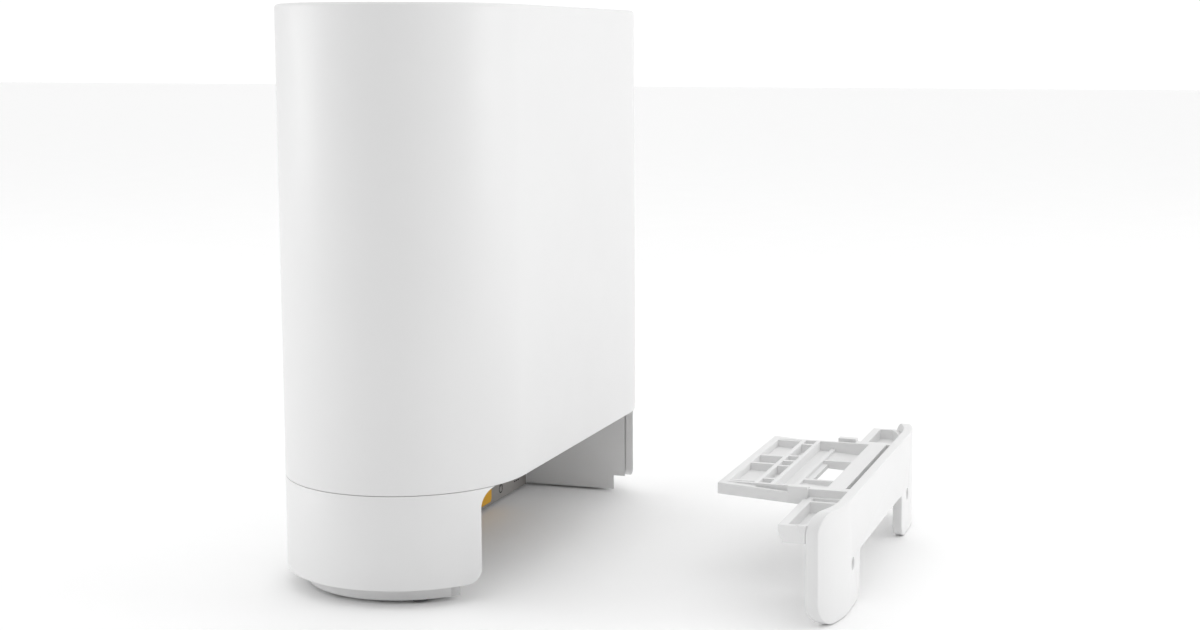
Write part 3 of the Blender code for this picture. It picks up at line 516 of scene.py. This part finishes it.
@dataclass(frozen=True)
class Outline:
    """The plan outline that the sleeve, skirt and cover share: straight sides and half-round ends.

    Attributes:
        length: Overall length along X.
        depth: Overall depth along Y.
        centre_y: Where its middle line lies.
    """

    length: float
    depth: float
    centre_y: float

    @property
    def radius(self) -> float:
        """Radius of the round ends."""
        return self.depth / 2

    @property
    def straight(self) -> float:
        """Half the length of a straight side."""
        return self.length / 2 - self.radius

    def press(self, work: bmesh.types.BMesh, shift_y: float) -> None:
        """Curve an upright flat plate to the back of the outline, so that its ends stay square to X.

        Args:
            work: The plate: X is the true X, Y is 0 at the outer face and negative inwards.
            shift_y: How far the whole piece stands behind the outline.
        """
        for vert in work.verts:
            past = max(0.0, abs(vert.co.x) - self.straight)
            radius = self.radius + vert.co.y
            vert.co.y = self.centre_y + shift_y + math.sqrt(radius ** 2 - past ** 2)

    def prism(self, inset: float, low: float, high: float, segments: int = 40) -> bmesh.types.BMesh:
        """Make an upright solid of the outline, moved inwards by an inset.

        Args:
            inset: Distance inwards from the outline.
            low: Its bottom.
            high: Its top.
            segments: Facets of each quarter round.

        Returns:
            The solid.
        """
        half_x, half_y = self.length / 2 - inset, self.depth / 2 - inset
        work = bmesh.new()
        box(work, (-half_x, self.centre_y - half_y, low), (half_x, self.centre_y + half_y, high))
        # A hair short of the half depth, so that the rounds of one end don't overlap.
        round_edges(work, upright_edges(work, (high - low) / 2), half_y * 0.9999, segments)
        bmesh.ops.remove_doubles(work, verts=work.verts, dist=0.02 * MM)
        return work


def face_at(work: bmesh.types.BMesh, height: float, upward: bool) -> bmesh.types.BMFace:
    """Find the largest level face at a height.

    Args:
        work: The bmesh.
        height: The height.
        upward: Whether it faces up, not down.

    Returns:
        The face.
    """
    sign = 1.0 if upward else -1.0
    level = [face for face in work.faces
             if face.normal.z * sign > 0.99 and abs(face.calc_center_median().z - height) < CLOSE]
    return max(level, key=lambda face: face.calc_area())


def inset_and_sink(work: bmesh.types.BMesh, face: bmesh.types.BMFace, inset: float,
                   travel: float) -> bmesh.types.BMFace:
    """Inset a level face and push it up or down.

    Args:
        work: The bmesh.
        face: The face.
        inset: Width of the rim left round it.
        travel: How far it moves along Z.

    Returns:
        The moved face.
    """
    bmesh.ops.inset_region(work, faces=[face], thickness=inset, use_even_offset=True, use_boundary=True)
    raised = bmesh.ops.extrude_face_region(work, geom=[face])["geom"]
    moved = [item for item in raised if isinstance(item, bmesh.types.BMVert)]
    bmesh.ops.translate(work, vec=(0.0, 0.0, travel), verts=moved)
    bmesh.ops.delete(work, geom=[face], context="FACES")
    return next(item for item in raised if isinstance(item, bmesh.types.BMFace))


# ---- housing

@dataclass
class Housing:
    """The tall sleeve, its vented top, the skirt round the bay, the liner and the foot.

    Attributes:
        outline: The shared plan outline.
        wall: Thickness of the sleeve and the skirt.
        top_radius: Round of the sleeve's top edge.
        hem_radius: Round of the edges at the seam and of the top plate.
        plate_gap: Gap round and under the top plate.
        seat_inset: Rim of the sleeve round the top plate.
        seat_ledge: Width of the ledge that the top plate rests on.
        ledge_thick: Thickness of that ledge.
        bay_half: Half the width of the bay's opening.
        bay_fillet: Round of the opening's upper corners.
        bay_rise: How far the bay's cutter rises into the seam.
        bay_flange: Width and depth of the cutter's flange under the skirt.
        skirt_corner: Round of the skirt's lower corners beside the bay.
        seam_lip: How far the skirt's brim rises into the seam.
        vent_count: Slots in the top plate.
        vent_pitch: Distance between slots.
        vent_size: Width and length of a slot.
        vent_round: Round of a slot's ends, as a part of its width.
        soft_copies: CAD nodes that keep their shape, with the round of their edges.
        lens_size: The lens's radius and height, as parts of the light pipe's radius.
        bezel_size: The bezel's inner and middle radius, as parts of the light pipe's.
    """

    outline: Outline
    wall: float = 2.2 * MM
    top_radius: float = 1.2 * MM
    hem_radius: float = 0.25 * MM
    plate_gap: float = 0.3 * MM
    seat_inset: float = 7.0 * MM
    seat_ledge: float = 5.0 * MM
    ledge_thick: float = 3.0 * MM
    bay_half: float = 63.4 * MM
    bay_fillet: float = 5.5 * MM
    bay_rise: float = 0.4 * MM
    bay_flange: tuple[float, float] = (8.0 * MM, 5.0 * MM)
    skirt_corner: float = 3.7 * MM
    seam_lip: float = 0.27 * MM
    vent_count: int = 13
    vent_pitch: float = 9.0 * MM
    vent_size: tuple[float, float] = (2.4 * MM, 28.0 * MM)
    vent_round: float = 0.49
    soft_copies: tuple[tuple[str, float], ...] = (("port_housing", 0.2 * MM), ("base_pan", 0.3 * MM))
    lens_size: tuple[float, float] = (0.94, 0.22)
    bezel_size: tuple[float, float] = (1.03, 1.12)

    def build(self) -> None:
        """Build every piece of the housing."""
        self.sleeve()
        self.top_plate()
        self.skirt()
        self.mouldings()
        self.status_light()

    def sleeve(self) -> None:
        """Build the plain satin sleeve with its seat for the top plate."""
        low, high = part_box("upper_sleeve")
        plate_low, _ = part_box("top_cover")
        seat = plate_low[2] - self.plate_gap
        work = self.outline.prism(0.0, low[2], high[2])
        top = face_at(work, high[2], True)
        round_edges(work, top.edges, self.top_radius, 6)
        top = face_at(work, high[2], True)
        top = inset_and_sink(work, top, self.seat_inset - self.top_radius, seat - high[2])
        top = inset_and_sink(work, top, self.seat_ledge, -self.ledge_thick)
        upper_loop = list(top.edges)
        bmesh.ops.delete(work, geom=[top], context="FACES_ONLY")
        bottom = face_at(work, low[2], False)
        ceiling = inset_and_sink(work, bottom, self.wall, seat - self.ledge_thick - low[2])
        lower_loop = list(ceiling.edges)
        bmesh.ops.delete(work, geom=[ceiling], context="FACES_ONLY")
        bmesh.ops.bridge_loops(work, edges=upper_loop + lower_loop)
        for height in (low[2], high[2]):
            round_edges(work, sharp_edges(work, level_at(height)), self.hem_radius, 2)
        bmesh.ops.recalc_face_normals(work, faces=work.faces)
        add_piece(to_mesh(work, "sleeve"), "sleeve", WHITE_ABS, UNIT, ["upper_sleeve"])

    def top_plate(self) -> None:
        """Build the plate in the sleeve's top, with its row of round-ended vent slots."""
        low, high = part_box("top_cover")
        plate = to_mesh(self.outline.prism(self.seat_inset + self.plate_gap, low[2], high[2]), "plate")
        width, length = self.vent_size
        near, far = self.outline.centre_y - length / 2, self.outline.centre_y + length / 2
        slots = bmesh.new()
        for i in range(self.vent_count):
            x = (i - (self.vent_count - 1) / 2) * self.vent_pitch
            cutter = bmesh.new()
            box(cutter, (x - width / 2, near, low[2] - MM), (x + width / 2, far, high[2] + MM))
            round_edges(cutter, upright_edges(cutter, MM), width * self.vent_round, 6)
            slots.from_mesh(to_mesh(cutter, "slot"))
        work = bmesh.new()
        work.from_mesh(boolean_cut(plate, to_mesh(slots, "slots")))
        round_edges(work, sharp_edges(work, level_at(high[2]), 60.0), self.hem_radius, 2)
        add_piece(to_mesh(work, "top_plate"), "top_plate", WHITE_ABS, UNIT, ["top_cover"])

    def skirt(self) -> None:
        """Build the band under the seam: a ring cut open over the bay, with soft rims."""
        low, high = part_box("lower_base")
        brim = high[2] + self.seam_lip
        ring = self.outline.prism(0.0, low[2], brim)
        inner = self.outline.prism(self.wall, low[2] - MM, high[2] + MM)
        hollow = boolean_cut(to_mesh(ring, "ring"), to_mesh(inner, "hollow"))
        side, top, foot = self.bay_half, high[2] + self.bay_rise, low[2]
        flange, under = side + self.bay_flange[0], foot - self.bay_flange[1]
        corners = [(-flange, under, 0.0), (flange, under, 0.0), (flange, foot, 0.0),
                   (side, foot, self.skirt_corner), (side, top, self.bay_fillet),
                   (-side, top, self.bay_fillet), (-side, foot, self.skirt_corner), (-flange, foot, 0.0)]
        # The cutter reaches from just behind the skirt to past its middle line.
        bay = flat_plate(corners, self.outline.radius + 10 * MM, 0.0)
        back = self.outline.centre_y + self.outline.radius + MM
        bmesh.ops.translate(bay, vec=(0.0, back, 0.0), verts=bay.verts)
        work = bmesh.new()
        work.from_mesh(boolean_cut(hollow, to_mesh(bay, "bay")))
        bmesh.ops.remove_doubles(work, verts=work.verts, dist=0.005 * MM)
        bmesh.ops.dissolve_limit(work, angle_limit=math.radians(0.3), verts=work.verts, edges=work.edges)
        round_edges(work, sharp_edges(work, lambda edge: True, 40.0), self.hem_radius, 2)
        add_piece(to_mesh(work, "skirt"), "skirt", WHITE_ABS, UNIT, ["lower_base"])

    def mouldings(self) -> None:
        """Add edge-softened copies of the liner and the foot."""
        for node, rim in self.soft_copies:
            add_softened(node, node + "_moulding", rim, LINER_ABS)

    def status_light(self) -> None:
        """Build the shallow domed lens in the front, and its thin bezel."""
        low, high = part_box("light_pipe")
        radius = (high[0] - low[0]) / 2
        lens_radius, lens_dome = self.lens_size
        inner, ring_middle = self.bezel_size
        middle = Vector(((low[0] + high[0]) / 2, low[1], (low[2] + high[2]) / 2))
        turn = Matrix.Translation(middle) @ Matrix.Rotation(math.pi / 2, 4, "X")
        work = bmesh.new()
        bmesh.ops.create_uvsphere(work, u_segments=32, v_segments=16, radius=radius * lens_radius)
        bmesh.ops.scale(work, vec=(1.0, 1.0, lens_dome), verts=work.verts)
        bmesh.ops.transform(work, matrix=turn, verts=work.verts)
        add_piece(to_mesh(work, "status_lens"), "status_lens", LENS, UNIT, ["light_pipe"])
        ring = bmesh.new()
        start = ring.verts.new((radius * inner, 0.0, 0.0))
        bmesh.ops.spin(ring, geom=[start], cent=(radius * ring_middle, 0, 0), axis=(0, 1, 0),
                       angle=2 * math.pi, steps=8, use_merge=True)
        bmesh.ops.remove_doubles(ring, verts=ring.verts, dist=WELD)
        bmesh.ops.spin(ring, geom=[*ring.verts, *ring.edges], cent=(0, 0, 0), axis=(0, 0, 1),
                       angle=2 * math.pi, steps=40, use_merge=True)
        bmesh.ops.remove_doubles(ring, verts=ring.verts, dist=WELD)
        bmesh.ops.recalc_face_normals(ring, faces=ring.faces)
        bmesh.ops.transform(ring, matrix=turn, verts=ring.verts)
        add_piece(to_mesh(ring, "light_bezel"), "light_bezel", WHITE_ABS, UNIT, ())


# ---- ports

class Mark(Enum):
    """Plain pictograms printed under the ports."""

    NETWORK = "network"
    POWER = "power"
    DIRECT_CURRENT = "direct_current"
    STICK = "stick"


@dataclass
class PortWall:
    """Jacks, buttons and printed marks on the wall at the back of the bay.

    Attributes:
        contact_count: Spring contacts in a network jack.
        contact_pitch: Distance between them.
        wire_radius: Radius of a contact wire.
        comb_drop: How far the contacts' roots lie under a jack's top.
        comb_ends: Gaps behind and before the contacts.
        comb_dip: How far their inner ends bend down.
        wire_thick: Thickness of a contact.
        pad_pitch: Distance between the USB contacts.
        pad_half: Half the width of a USB contact.
        pad_thick: Its thickness.
        pad_ends: Gaps behind and before it.
        pin_radius: Radius of the power inlet's pin sleeve.
        pin_length: Its length.
        pin_recess: How far its end lies inside the inlet's face.
        block_rim: Soft edge of the connector blocks and small buttons.
        ink_thick: Thickness of the printed marks.
        mark_offset: Shift of the marks on the grey film, along the wall and up.
        jacks: CAD nodes of the network jacks, the first outside the colour field.
        marks: Meshes of the printed marks, gathered before they become one piece.
    """

    contact_count: int = 8
    contact_pitch: float = 1.02 * MM
    wire_radius: float = 0.22 * MM
    comb_drop: float = 3.4 * MM
    comb_ends: tuple[float, float] = (3.5 * MM, 2.6 * MM)
    comb_dip: float = 2.4 * MM
    wire_thick: float = 0.4 * MM
    pad_pitch: float = 2.3 * MM
    pad_half: float = 0.5 * MM
    pad_thick: float = 0.12 * MM
    pad_ends: tuple[float, float] = (1.5 * MM, 0.8 * MM)
    pin_radius: float = 1.2 * MM
    pin_length: float = 8.0 * MM
    pin_recess: float = 0.8 * MM
    block_rim: float = 0.15 * MM
    ink_thick: float = 0.06 * MM
    mark_offset: tuple[float, float] = (-2.0 * MM, -0.6 * MM)
    jacks: tuple[str, ...] = ("wan_jack", "lan_jack_1", "lan_jack_2", "lan_jack_3")
    marks: list[bpy.types.Mesh] = field(default_factory=list)

    def build(self) -> None:
        """Build every piece on the port wall."""
        for node in self.jacks:
            self.jack(node)
        self.usb()
        self.inlet()
        self.buttons()
        self.labels()

    def jack(self, node: str) -> None:
        """Build a network jack: a softened block, and a comb of gold spring wires inside.

        Args:
            node: The CAD node's name.
        """
        low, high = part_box(node)
        add_softened(node, node + "_body", self.block_rim, BLACK_NYLON)
        middle = (low[0] + high[0]) / 2
        work = bmesh.new()
        roof = high[2] - self.comb_drop
        inner, mouth = low[1] + self.comb_ends[0], high[1] - self.comb_ends[1]
        for i in range(self.contact_count):
            x = middle + (i - (self.contact_count - 1) / 2) * self.contact_pitch
            wire = box(work, (x - self.wire_radius, inner, roof - self.wire_thick),
                       (x + self.wire_radius, mouth, roof))
            tip = [vert for vert in wire if vert.co.y < (inner + mouth) / 2]
            bmesh.ops.translate(work, vec=(0, 0, -self.comb_dip), verts=tip)
        round_edges(work, work.edges, 0.08 * MM, 2)
        add_piece(to_mesh(work, "contacts"), node + "_contacts", GOLD, UNIT, ())

    def usb(self) -> None:
        """Build the plated shell, and the tongue with its four contacts."""
        add_softened("usb_shell", "usb_sheet_shell", 0.12 * MM, NICKEL)
        low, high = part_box("usb_tongue")
        tongue = soft_box("usb_tongue", tuple(low), tuple(high), 0.25 * MM)
        add_piece(tongue, "usb_tongue_moulding", BLACK_NYLON, UNIT, ["usb_tongue"])
        work = bmesh.new()
        for place in (-1.5, -0.5, 0.5, 1.5):
            x = (low[0] + high[0]) / 2 + place * self.pad_pitch
            box(work, (x - self.pad_half, low[1] + self.pad_ends[0], low[2] - self.pad_thick),
                (x + self.pad_half, high[1] - self.pad_ends[1], low[2]))
        round_edges(work, work.edges, 0.04 * MM, 1)
        add_piece(to_mesh(work, "usb_contacts"), "usb_contacts", GOLD, UNIT, ())

    def inlet(self) -> None:
        """Build the round power inlet: a softened block and a plated pin sleeve."""
        add_softened("dc_jack", "dc_jack_body", self.block_rim, BLACK_NYLON)
        low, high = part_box("dc_jack")
        middle = ((low[0] + high[0]) / 2, high[1] - self.pin_recess - self.pin_length / 2,
                  (low[2] + high[2]) / 2)
        work = bmesh.new()
        rod(work, middle, self.pin_radius, self.pin_length, "X", 24)
        round_edges(work, sharp_edges(work, lambda edge: True), 0.3 * MM, 3)
        add_piece(to_mesh(work, "dc_pin"), "dc_pin_sleeve", NICKEL, UNIT, ())

    def buttons(self) -> None:
        """Add the square power button and the two small round ones, with soft edges."""
        add_softened("power_button", "power_cap", 0.35 * MM, BLACK_NYLON, "power_button")
        for node in ("wps_button", "reset_button"):
            add_softened(node, node + "_cap", self.block_rim, BLACK_NYLON, node)

    def labels(self) -> None:
        """Add the grey film under the ports, the network jacks' colour field, and the marks on both."""
        low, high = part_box("label_strip")
        strip = soft_box("label_strip", tuple(low), tuple(high), 0.1 * MM, 1)
        add_piece(strip, "label_film", GREY_FILM, UNIT, ["label_strip"])
        field_low, field_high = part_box("lan_label")
        add_softened("lan_label", "lan_field", 0.08 * MM, YELLOW_FILM)
        middle_z = (field_low[2] + field_high[2]) / 2
        for node in self.jacks[1:]:
            jack_low, jack_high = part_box(node)
            self.mark(Mark.NETWORK, (jack_low[0] + jack_high[0]) / 2, field_high[1], middle_z)
        spots = (("wan_jack", Mark.NETWORK), ("usb_shell", Mark.STICK), ("power_switch", Mark.POWER),
                 ("dc_jack", Mark.DIRECT_CURRENT))
        along, up = self.mark_offset
        for node, mark in spots:
            port_low, port_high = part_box(node)
            self.mark(mark, (port_low[0] + port_high[0]) / 2 + along, high[1], middle_z + up)
        work = bmesh.new()
        for mesh in self.marks:
            work.from_mesh(mesh)
        add_piece(to_mesh(work, "printed_marks"), "printed_marks", DARK_INK, UNIT, ())

    def mark(self, kind: Mark, x: float, y: float, z: float) -> None:
        """Add one pictogram, about 4 mm wide.

        Args:
            kind: Which pictogram.
            x: Its middle along the wall.
            y: The film's face that it is printed on.
            z: Its middle height.
        """
        work = bmesh.new()
        front = y + self.ink_thick

        def bar(x0: float, x1: float, z0: float, z1: float) -> None:
            """Add a printed bar.

            Args:
                x0: Its low end along the wall, in millimetres from the mark's middle.
                x1: Its high end.
                z0: Its bottom, in millimetres from the mark's middle.
                z1: Its top.
            """
            box(work, (x + x0 * MM, y, z + z0 * MM), (x + x1 * MM, front, z + z1 * MM))

        if kind is Mark.NETWORK:
            for x0, z0 in ((-0.6, 0.5), (-2.2, -1.5), (1.0, -1.5)):
                bar(x0, x0 + 1.2, z0, z0 + 1.0)
            for side in (-1.6, 1.4):
                bar(side, side + 0.2, -0.6, 0.1)
            bar(-1.6, 1.6, -0.1, 0.1)
            bar(-0.1, 0.1, 0.0, 0.6)
        elif kind is Mark.STICK:
            bar(-2.0, 0.8, -0.8, 0.8)
            bar(0.9, 2.0, -0.5, 0.5)
        elif kind is Mark.DIRECT_CURRENT:
            bar(-2.0, 2.0, 0.3, 0.7)
            for start in (-2.0, -0.5, 1.0):
                bar(start, start + 1.0, -0.6, -0.2)
        else:
            half, radius, dots, gap = 0.2, 1.35, 14, 70
            bar(-half, half, 0.4, 1.9)
            # A ring of overlapping dots, open at the top.
            for i in range(dots):
                angle = math.radians(90 + gap / 2 + i * (360 - gap) / (dots - 1))
                across, up = math.cos(angle) * radius, math.sin(angle) * radius
                bar(across - half, across + half, up - half, up + half)
        self.marks.append(to_mesh(work, "mark"))


# ---- cable cover

@dataclass
class CableCover:
    """The curved plate that closes the bay and the ribbed tray behind it.

    Attributes:
        outline: The shared plan outline.
        thick: The plate's thickness.
        half: Half its width.
        top_radius: Round of its upper corners.
        foot_radius: Round of its legs' outer corners.
        arch_half: Half the width of the arch.
        arch_top: Height of the arch.
        arch_radius: Round of the arch's corners.
        leg_radius: Round of the legs' inner corners.
        rim: Soft edge round the plate.
        hole_x: Distance of a screw hole from the middle.
        hole_z: Height of the screw holes.
        hole_radius: Radius of the screw holes.
        bend_step: Width of the facets where the plate bends.
        tray_rim: Soft edge of the tray.
        pin_radius: Radius of the moulding pin's mark on a shoulder's end.
        pin_place: Distance of that mark from the tray's back and from its top.
    """

    outline: Outline
    thick: float = 2.88 * MM
    half: float = 62.5 * MM
    top_radius: float = 5.5 * MM
    foot_radius: float = 7.0 * MM
    arch_half: float = 31.2 * MM
    arch_top: float = 13.6 * MM
    arch_radius: float = 1.5 * MM
    leg_radius: float = 5.0 * MM
    rim: float = 0.3 * MM
    hole_x: float = 40.2 * MM
    hole_z: float = 12.0 * MM
    hole_radius: float = 1.75 * MM
    bend_step: float = 1.2 * MM
    tray_rim: float = 0.14 * MM
    pin_radius: float = 0.5 * MM
    pin_place: tuple[float, float] = (7.4 * MM, 2.6 * MM)

    def build(self) -> None:
        """Build the plate and the tray."""
        self.plate()
        self.tray()

    def plate(self) -> None:
        """Build the outer plate: cut flat, drilled, then bent round the outline."""
        low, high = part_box("cover_plate")
        end, foot, top = self.half, low[2], high[2]
        corners = [(-end, foot, self.foot_radius), (-self.arch_half, foot, self.leg_radius),
                   (-self.arch_half, self.arch_top, self.arch_radius),
                   (self.arch_half, self.arch_top, self.arch_radius),
                   (self.arch_half, foot, self.leg_radius), (end, foot, self.foot_radius),
                   (end, top, self.top_radius), (-end, top, self.top_radius)]
        sheet = to_mesh(flat_plate(corners, self.thick, self.rim), "sheet")
        drills = bmesh.new()
        for side in (-1, 1):
            rod(drills, (side * self.hole_x, 0.0, self.hole_z), self.hole_radius, 10 * MM, "X", 40)
        work = bmesh.new()
        work.from_mesh(boolean_cut(sheet, to_mesh(drills, "drills")))
        round_edges(work, sharp_edges(work, self.round_a_hole), 0.25 * MM, 2)
        slice_along(work, self.outline.straight, end - self.rim, self.bend_step)
        slice_along(work, -end + self.rim, -self.outline.straight, self.bend_step)
        self.outline.press(work, shift_y=high[1] - (self.outline.centre_y + self.outline.radius))
        add_piece(to_mesh(work, "cover_plate"), "cover_face_plate", WHITE_ABS, COVER, ["cover_plate"])

    def round_a_hole(self, edge: bmesh.types.BMEdge) -> bool:
        """Tell whether an edge of the flat plate runs round the mouth of a screw hole.

        Args:
            edge: The edge.

        Returns:
            True if it does.
        """
        from_axis = [math.hypot(abs(vert.co.x) - self.hole_x, vert.co.z - self.hole_z) for vert in edge.verts]
        on_wall = all(abs(distance - self.hole_radius) < 0.01 * MM for distance in from_axis)
        return on_wall and abs(edge.verts[0].co.y - edge.verts[1].co.y) < CLOSE

    def tray(self) -> None:
        """Build the ribbed tray: every moulded edge softened, and a pin mark on each end."""
        tray = to_mesh(cad_copy("cover_tray", self.tray_rim), "cover_tray")
        low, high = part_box("cover_tray")
        pins = bmesh.new()
        for x in (low[0], high[0]):
            middle = (x, high[1] - self.pin_place[0], high[2] - self.pin_place[1])
            rod(pins, middle, self.pin_radius, 1.2 * MM, "Y", 20)
        work = bmesh.new()
        work.from_mesh(boolean_cut(tray, to_mesh(pins, "pins")))
        add_piece(to_mesh(work, "cover_tray"), "cover_ribbed_tray", WHITE_ABS, COVER, ["cover_tray"])


# ---- what shows of the inside

@dataclass(frozen=True)
class Inside:
    """Carried-over solids that show only through slots and from below.

    Attributes:
        finishes: Each finish with the CAD nodes that wear it.
    """

    finishes: tuple[tuple[Finish, tuple[str, ...]], ...] = (
        (SOLDER_MASK, ("main_board",)),
        (ALUMINIUM, ("heat_sink",)),
        (GAP_PAD, ("thermal_pad",)),
        (NICKEL, ("radio_shield_lower", "radio_shield_upper",
                  "board_screw_1", "board_screw_2", "board_screw_3", "board_screw_4",
                  "base_screw_1", "base_screw_2", "base_screw_3", "base_screw_4",
                  "wps_switch", "reset_switch")),
        (COPPER, ("antenna_1", "antenna_2", "antenna_3", "antenna_4")),
        (LINER_ABS, ("chassis",)),
        (BLACK_NYLON, ("power_switch",)),
        (LENS, ("status_led",)),
        (RUBBER, ("rubber_foot_front", "rubber_foot_left", "rubber_foot_right")),
    )

    def dress(self) -> None:
        """Give each carried-over node its material."""
        for finish, nodes in self.finishes:
            for name in nodes:
                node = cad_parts[name]
                node.data.materials.clear()
                node.data.materials.append(PALETTE.get(finish))
                LOG.info("%s: %s", name, finish.name)


# ---- studio

@dataclass(frozen=True)
class Panel:
    """A rectangular soft light.

    Attributes:
        name: Its name.
        place: Where it hangs.
        aim: The point that it faces.
        size: Its width and height.
        power: Its power in watts.
    """

    name: str
    place: Point
    aim: Point
    size: tuple[float, float]
    power: float

    def hang(self) -> None:
        """Put the light in the scene."""
        lamp = bpy.data.lights.new(self.name, "AREA")
        lamp.shape = "RECTANGLE"
        lamp.size, lamp.size_y = self.size
        lamp.energy = self.power
        thing = bpy.data.objects.new(self.name, lamp)
        bpy.context.scene.collection.objects.link(thing)
        thing.location = self.place
        thing.rotation_euler = (Vector(self.aim) - Vector(self.place)).to_track_quat("-Z", "Y").to_euler()


@dataclass(frozen=True)
class Studio:
    """A pale floor, soft light from both sides and above, and the camera.

    Attributes:
        eye: Where the camera stands.
        yaw: Its turn from looking along -X towards -Y, in degrees.
        pitch: Its tilt below the horizon, in degrees.
        lens_mm: Focal length on a 36 mm wide sensor.
        shift: Lens shift across and up, as parts of the image's width.
        floor_half: Half the floor's width.
        floor_drop: How far the floor lies below the feet.
        panels: The side lights.
        ceiling_power: Strength of the light from above.
        ceiling_spread: Its angular size, in degrees.
        surround_turn: X of the directions between which the surround dims.
        surround_level: Its strength before and after that.
    """

    eye: Point = (0.5092, 0.2469, 0.1505)
    yaw: float = 16.85
    pitch: float = 6.24
    lens_mm: float = 54.55
    shift: tuple[float, float] = (-0.0833, -0.0583)
    floor_half: float = 6.0
    floor_drop: float = 0.2 * MM
    panels: tuple[Panel, ...] = (
        Panel("left_panel", (0.40, -1.13, 0.14), (0.02, 0.02, 0.08), (0.6, 0.9), 5.9),
        Panel("right_panel", (-0.30, 1.30, 0.14), (0.02, 0.08, 0.08), (0.6, 0.9), 6.6),
    )
    ceiling_power: float = 1.25
    ceiling_spread: float = 100.0
    surround_turn: tuple[float, float] = (-0.82, -0.4)
    surround_level: tuple[float, float] = (1.05, 0.48)

    def build(self) -> None:
        """Set up the floor, the lights and the camera."""
        self.floor()
        self.lights()
        self.camera()

    def floor(self) -> None:
        """Lay a wide level sheet that stands for seamless paper."""
        work = bmesh.new()
        bmesh.ops.create_grid(work, x_segments=1, y_segments=1, size=self.floor_half)
        mesh = to_mesh(work, "floor")
        mesh.materials.append(PALETTE.get(PAPER))
        floor = bpy.data.objects.new("floor", mesh)
        bpy.context.scene.collection.objects.link(floor)
        floor.location.z = -self.floor_drop

    def lights(self) -> None:
        """Hang a soft panel on each side and an even light above, in a surround brightest behind."""
        for panel in self.panels:
            panel.hang()
        ceiling = bpy.data.lights.new("ceiling", "SUN")
        ceiling.energy = self.ceiling_power
        ceiling.angle = math.radians(self.ceiling_spread)
        bpy.context.scene.collection.objects.link(bpy.data.objects.new("ceiling", ceiling))
        world = bpy.data.worlds.new("surround")
        world.use_nodes = True
        tree = world.node_tree
        direction = add_node(tree, "ShaderNodeTexCoord").outputs["Generated"]
        split = add_node(tree, "ShaderNodeSeparateXYZ", inputs={"Vector": direction})
        (start, end), (bright, dim) = self.surround_turn, self.surround_level
        level = add_node(tree, "ShaderNodeMapRange", {"interpolation_type": "SMOOTHSTEP"}, {
            "Value": split.outputs["X"], "From Min": start, "From Max": end, "To Min": bright,
            "To Max": dim})
        tree.links.new(level.outputs["Result"], tree.nodes["Background"].inputs["Strength"])
        tree.nodes["Background"].inputs["Color"].default_value = linear("FFFFFF")
        bpy.context.scene.world = world
        bpy.context.scene.view_settings.view_transform = "Standard"

    def camera(self) -> None:
        """Place the camera, with a small lens shift that keeps the uprights nearly parallel."""
        data = bpy.data.cameras.new("camera")
        data.sensor_width = 36.0
        data.lens = self.lens_mm
        data.shift_x, data.shift_y = self.shift
        data.clip_start = 0.01
        camera = bpy.data.objects.new("camera", data)
        bpy.context.scene.collection.objects.link(camera)
        yaw, pitch = math.radians(self.yaw), math.radians(self.pitch)
        gaze = Vector((-math.cos(yaw) * math.cos(pitch), -math.sin(yaw) * math.cos(pitch), -math.sin(pitch)))
        camera.location = self.eye
        camera.rotation_euler = gaze.to_track_quat("-Z", "Y").to_euler()
        bpy.context.scene.camera = camera


def main() -> None:
    """Build the whole scene, in order."""
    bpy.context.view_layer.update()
    low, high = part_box("upper_sleeve")
    outline = Outline(high[0] - low[0], high[1] - low[1], (high[1] + low[1]) / 2)
    Housing(outline).build()
    PortWall().build()
    CableCover(outline).build()
    Inside().dress()
    Studio().build()


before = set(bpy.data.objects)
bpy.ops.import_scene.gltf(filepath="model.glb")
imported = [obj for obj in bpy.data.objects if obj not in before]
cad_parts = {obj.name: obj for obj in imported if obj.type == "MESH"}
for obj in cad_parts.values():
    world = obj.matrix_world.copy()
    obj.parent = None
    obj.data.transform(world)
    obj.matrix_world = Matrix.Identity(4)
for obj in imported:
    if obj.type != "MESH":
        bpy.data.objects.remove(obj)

if __name__ == "__main__":
    main()
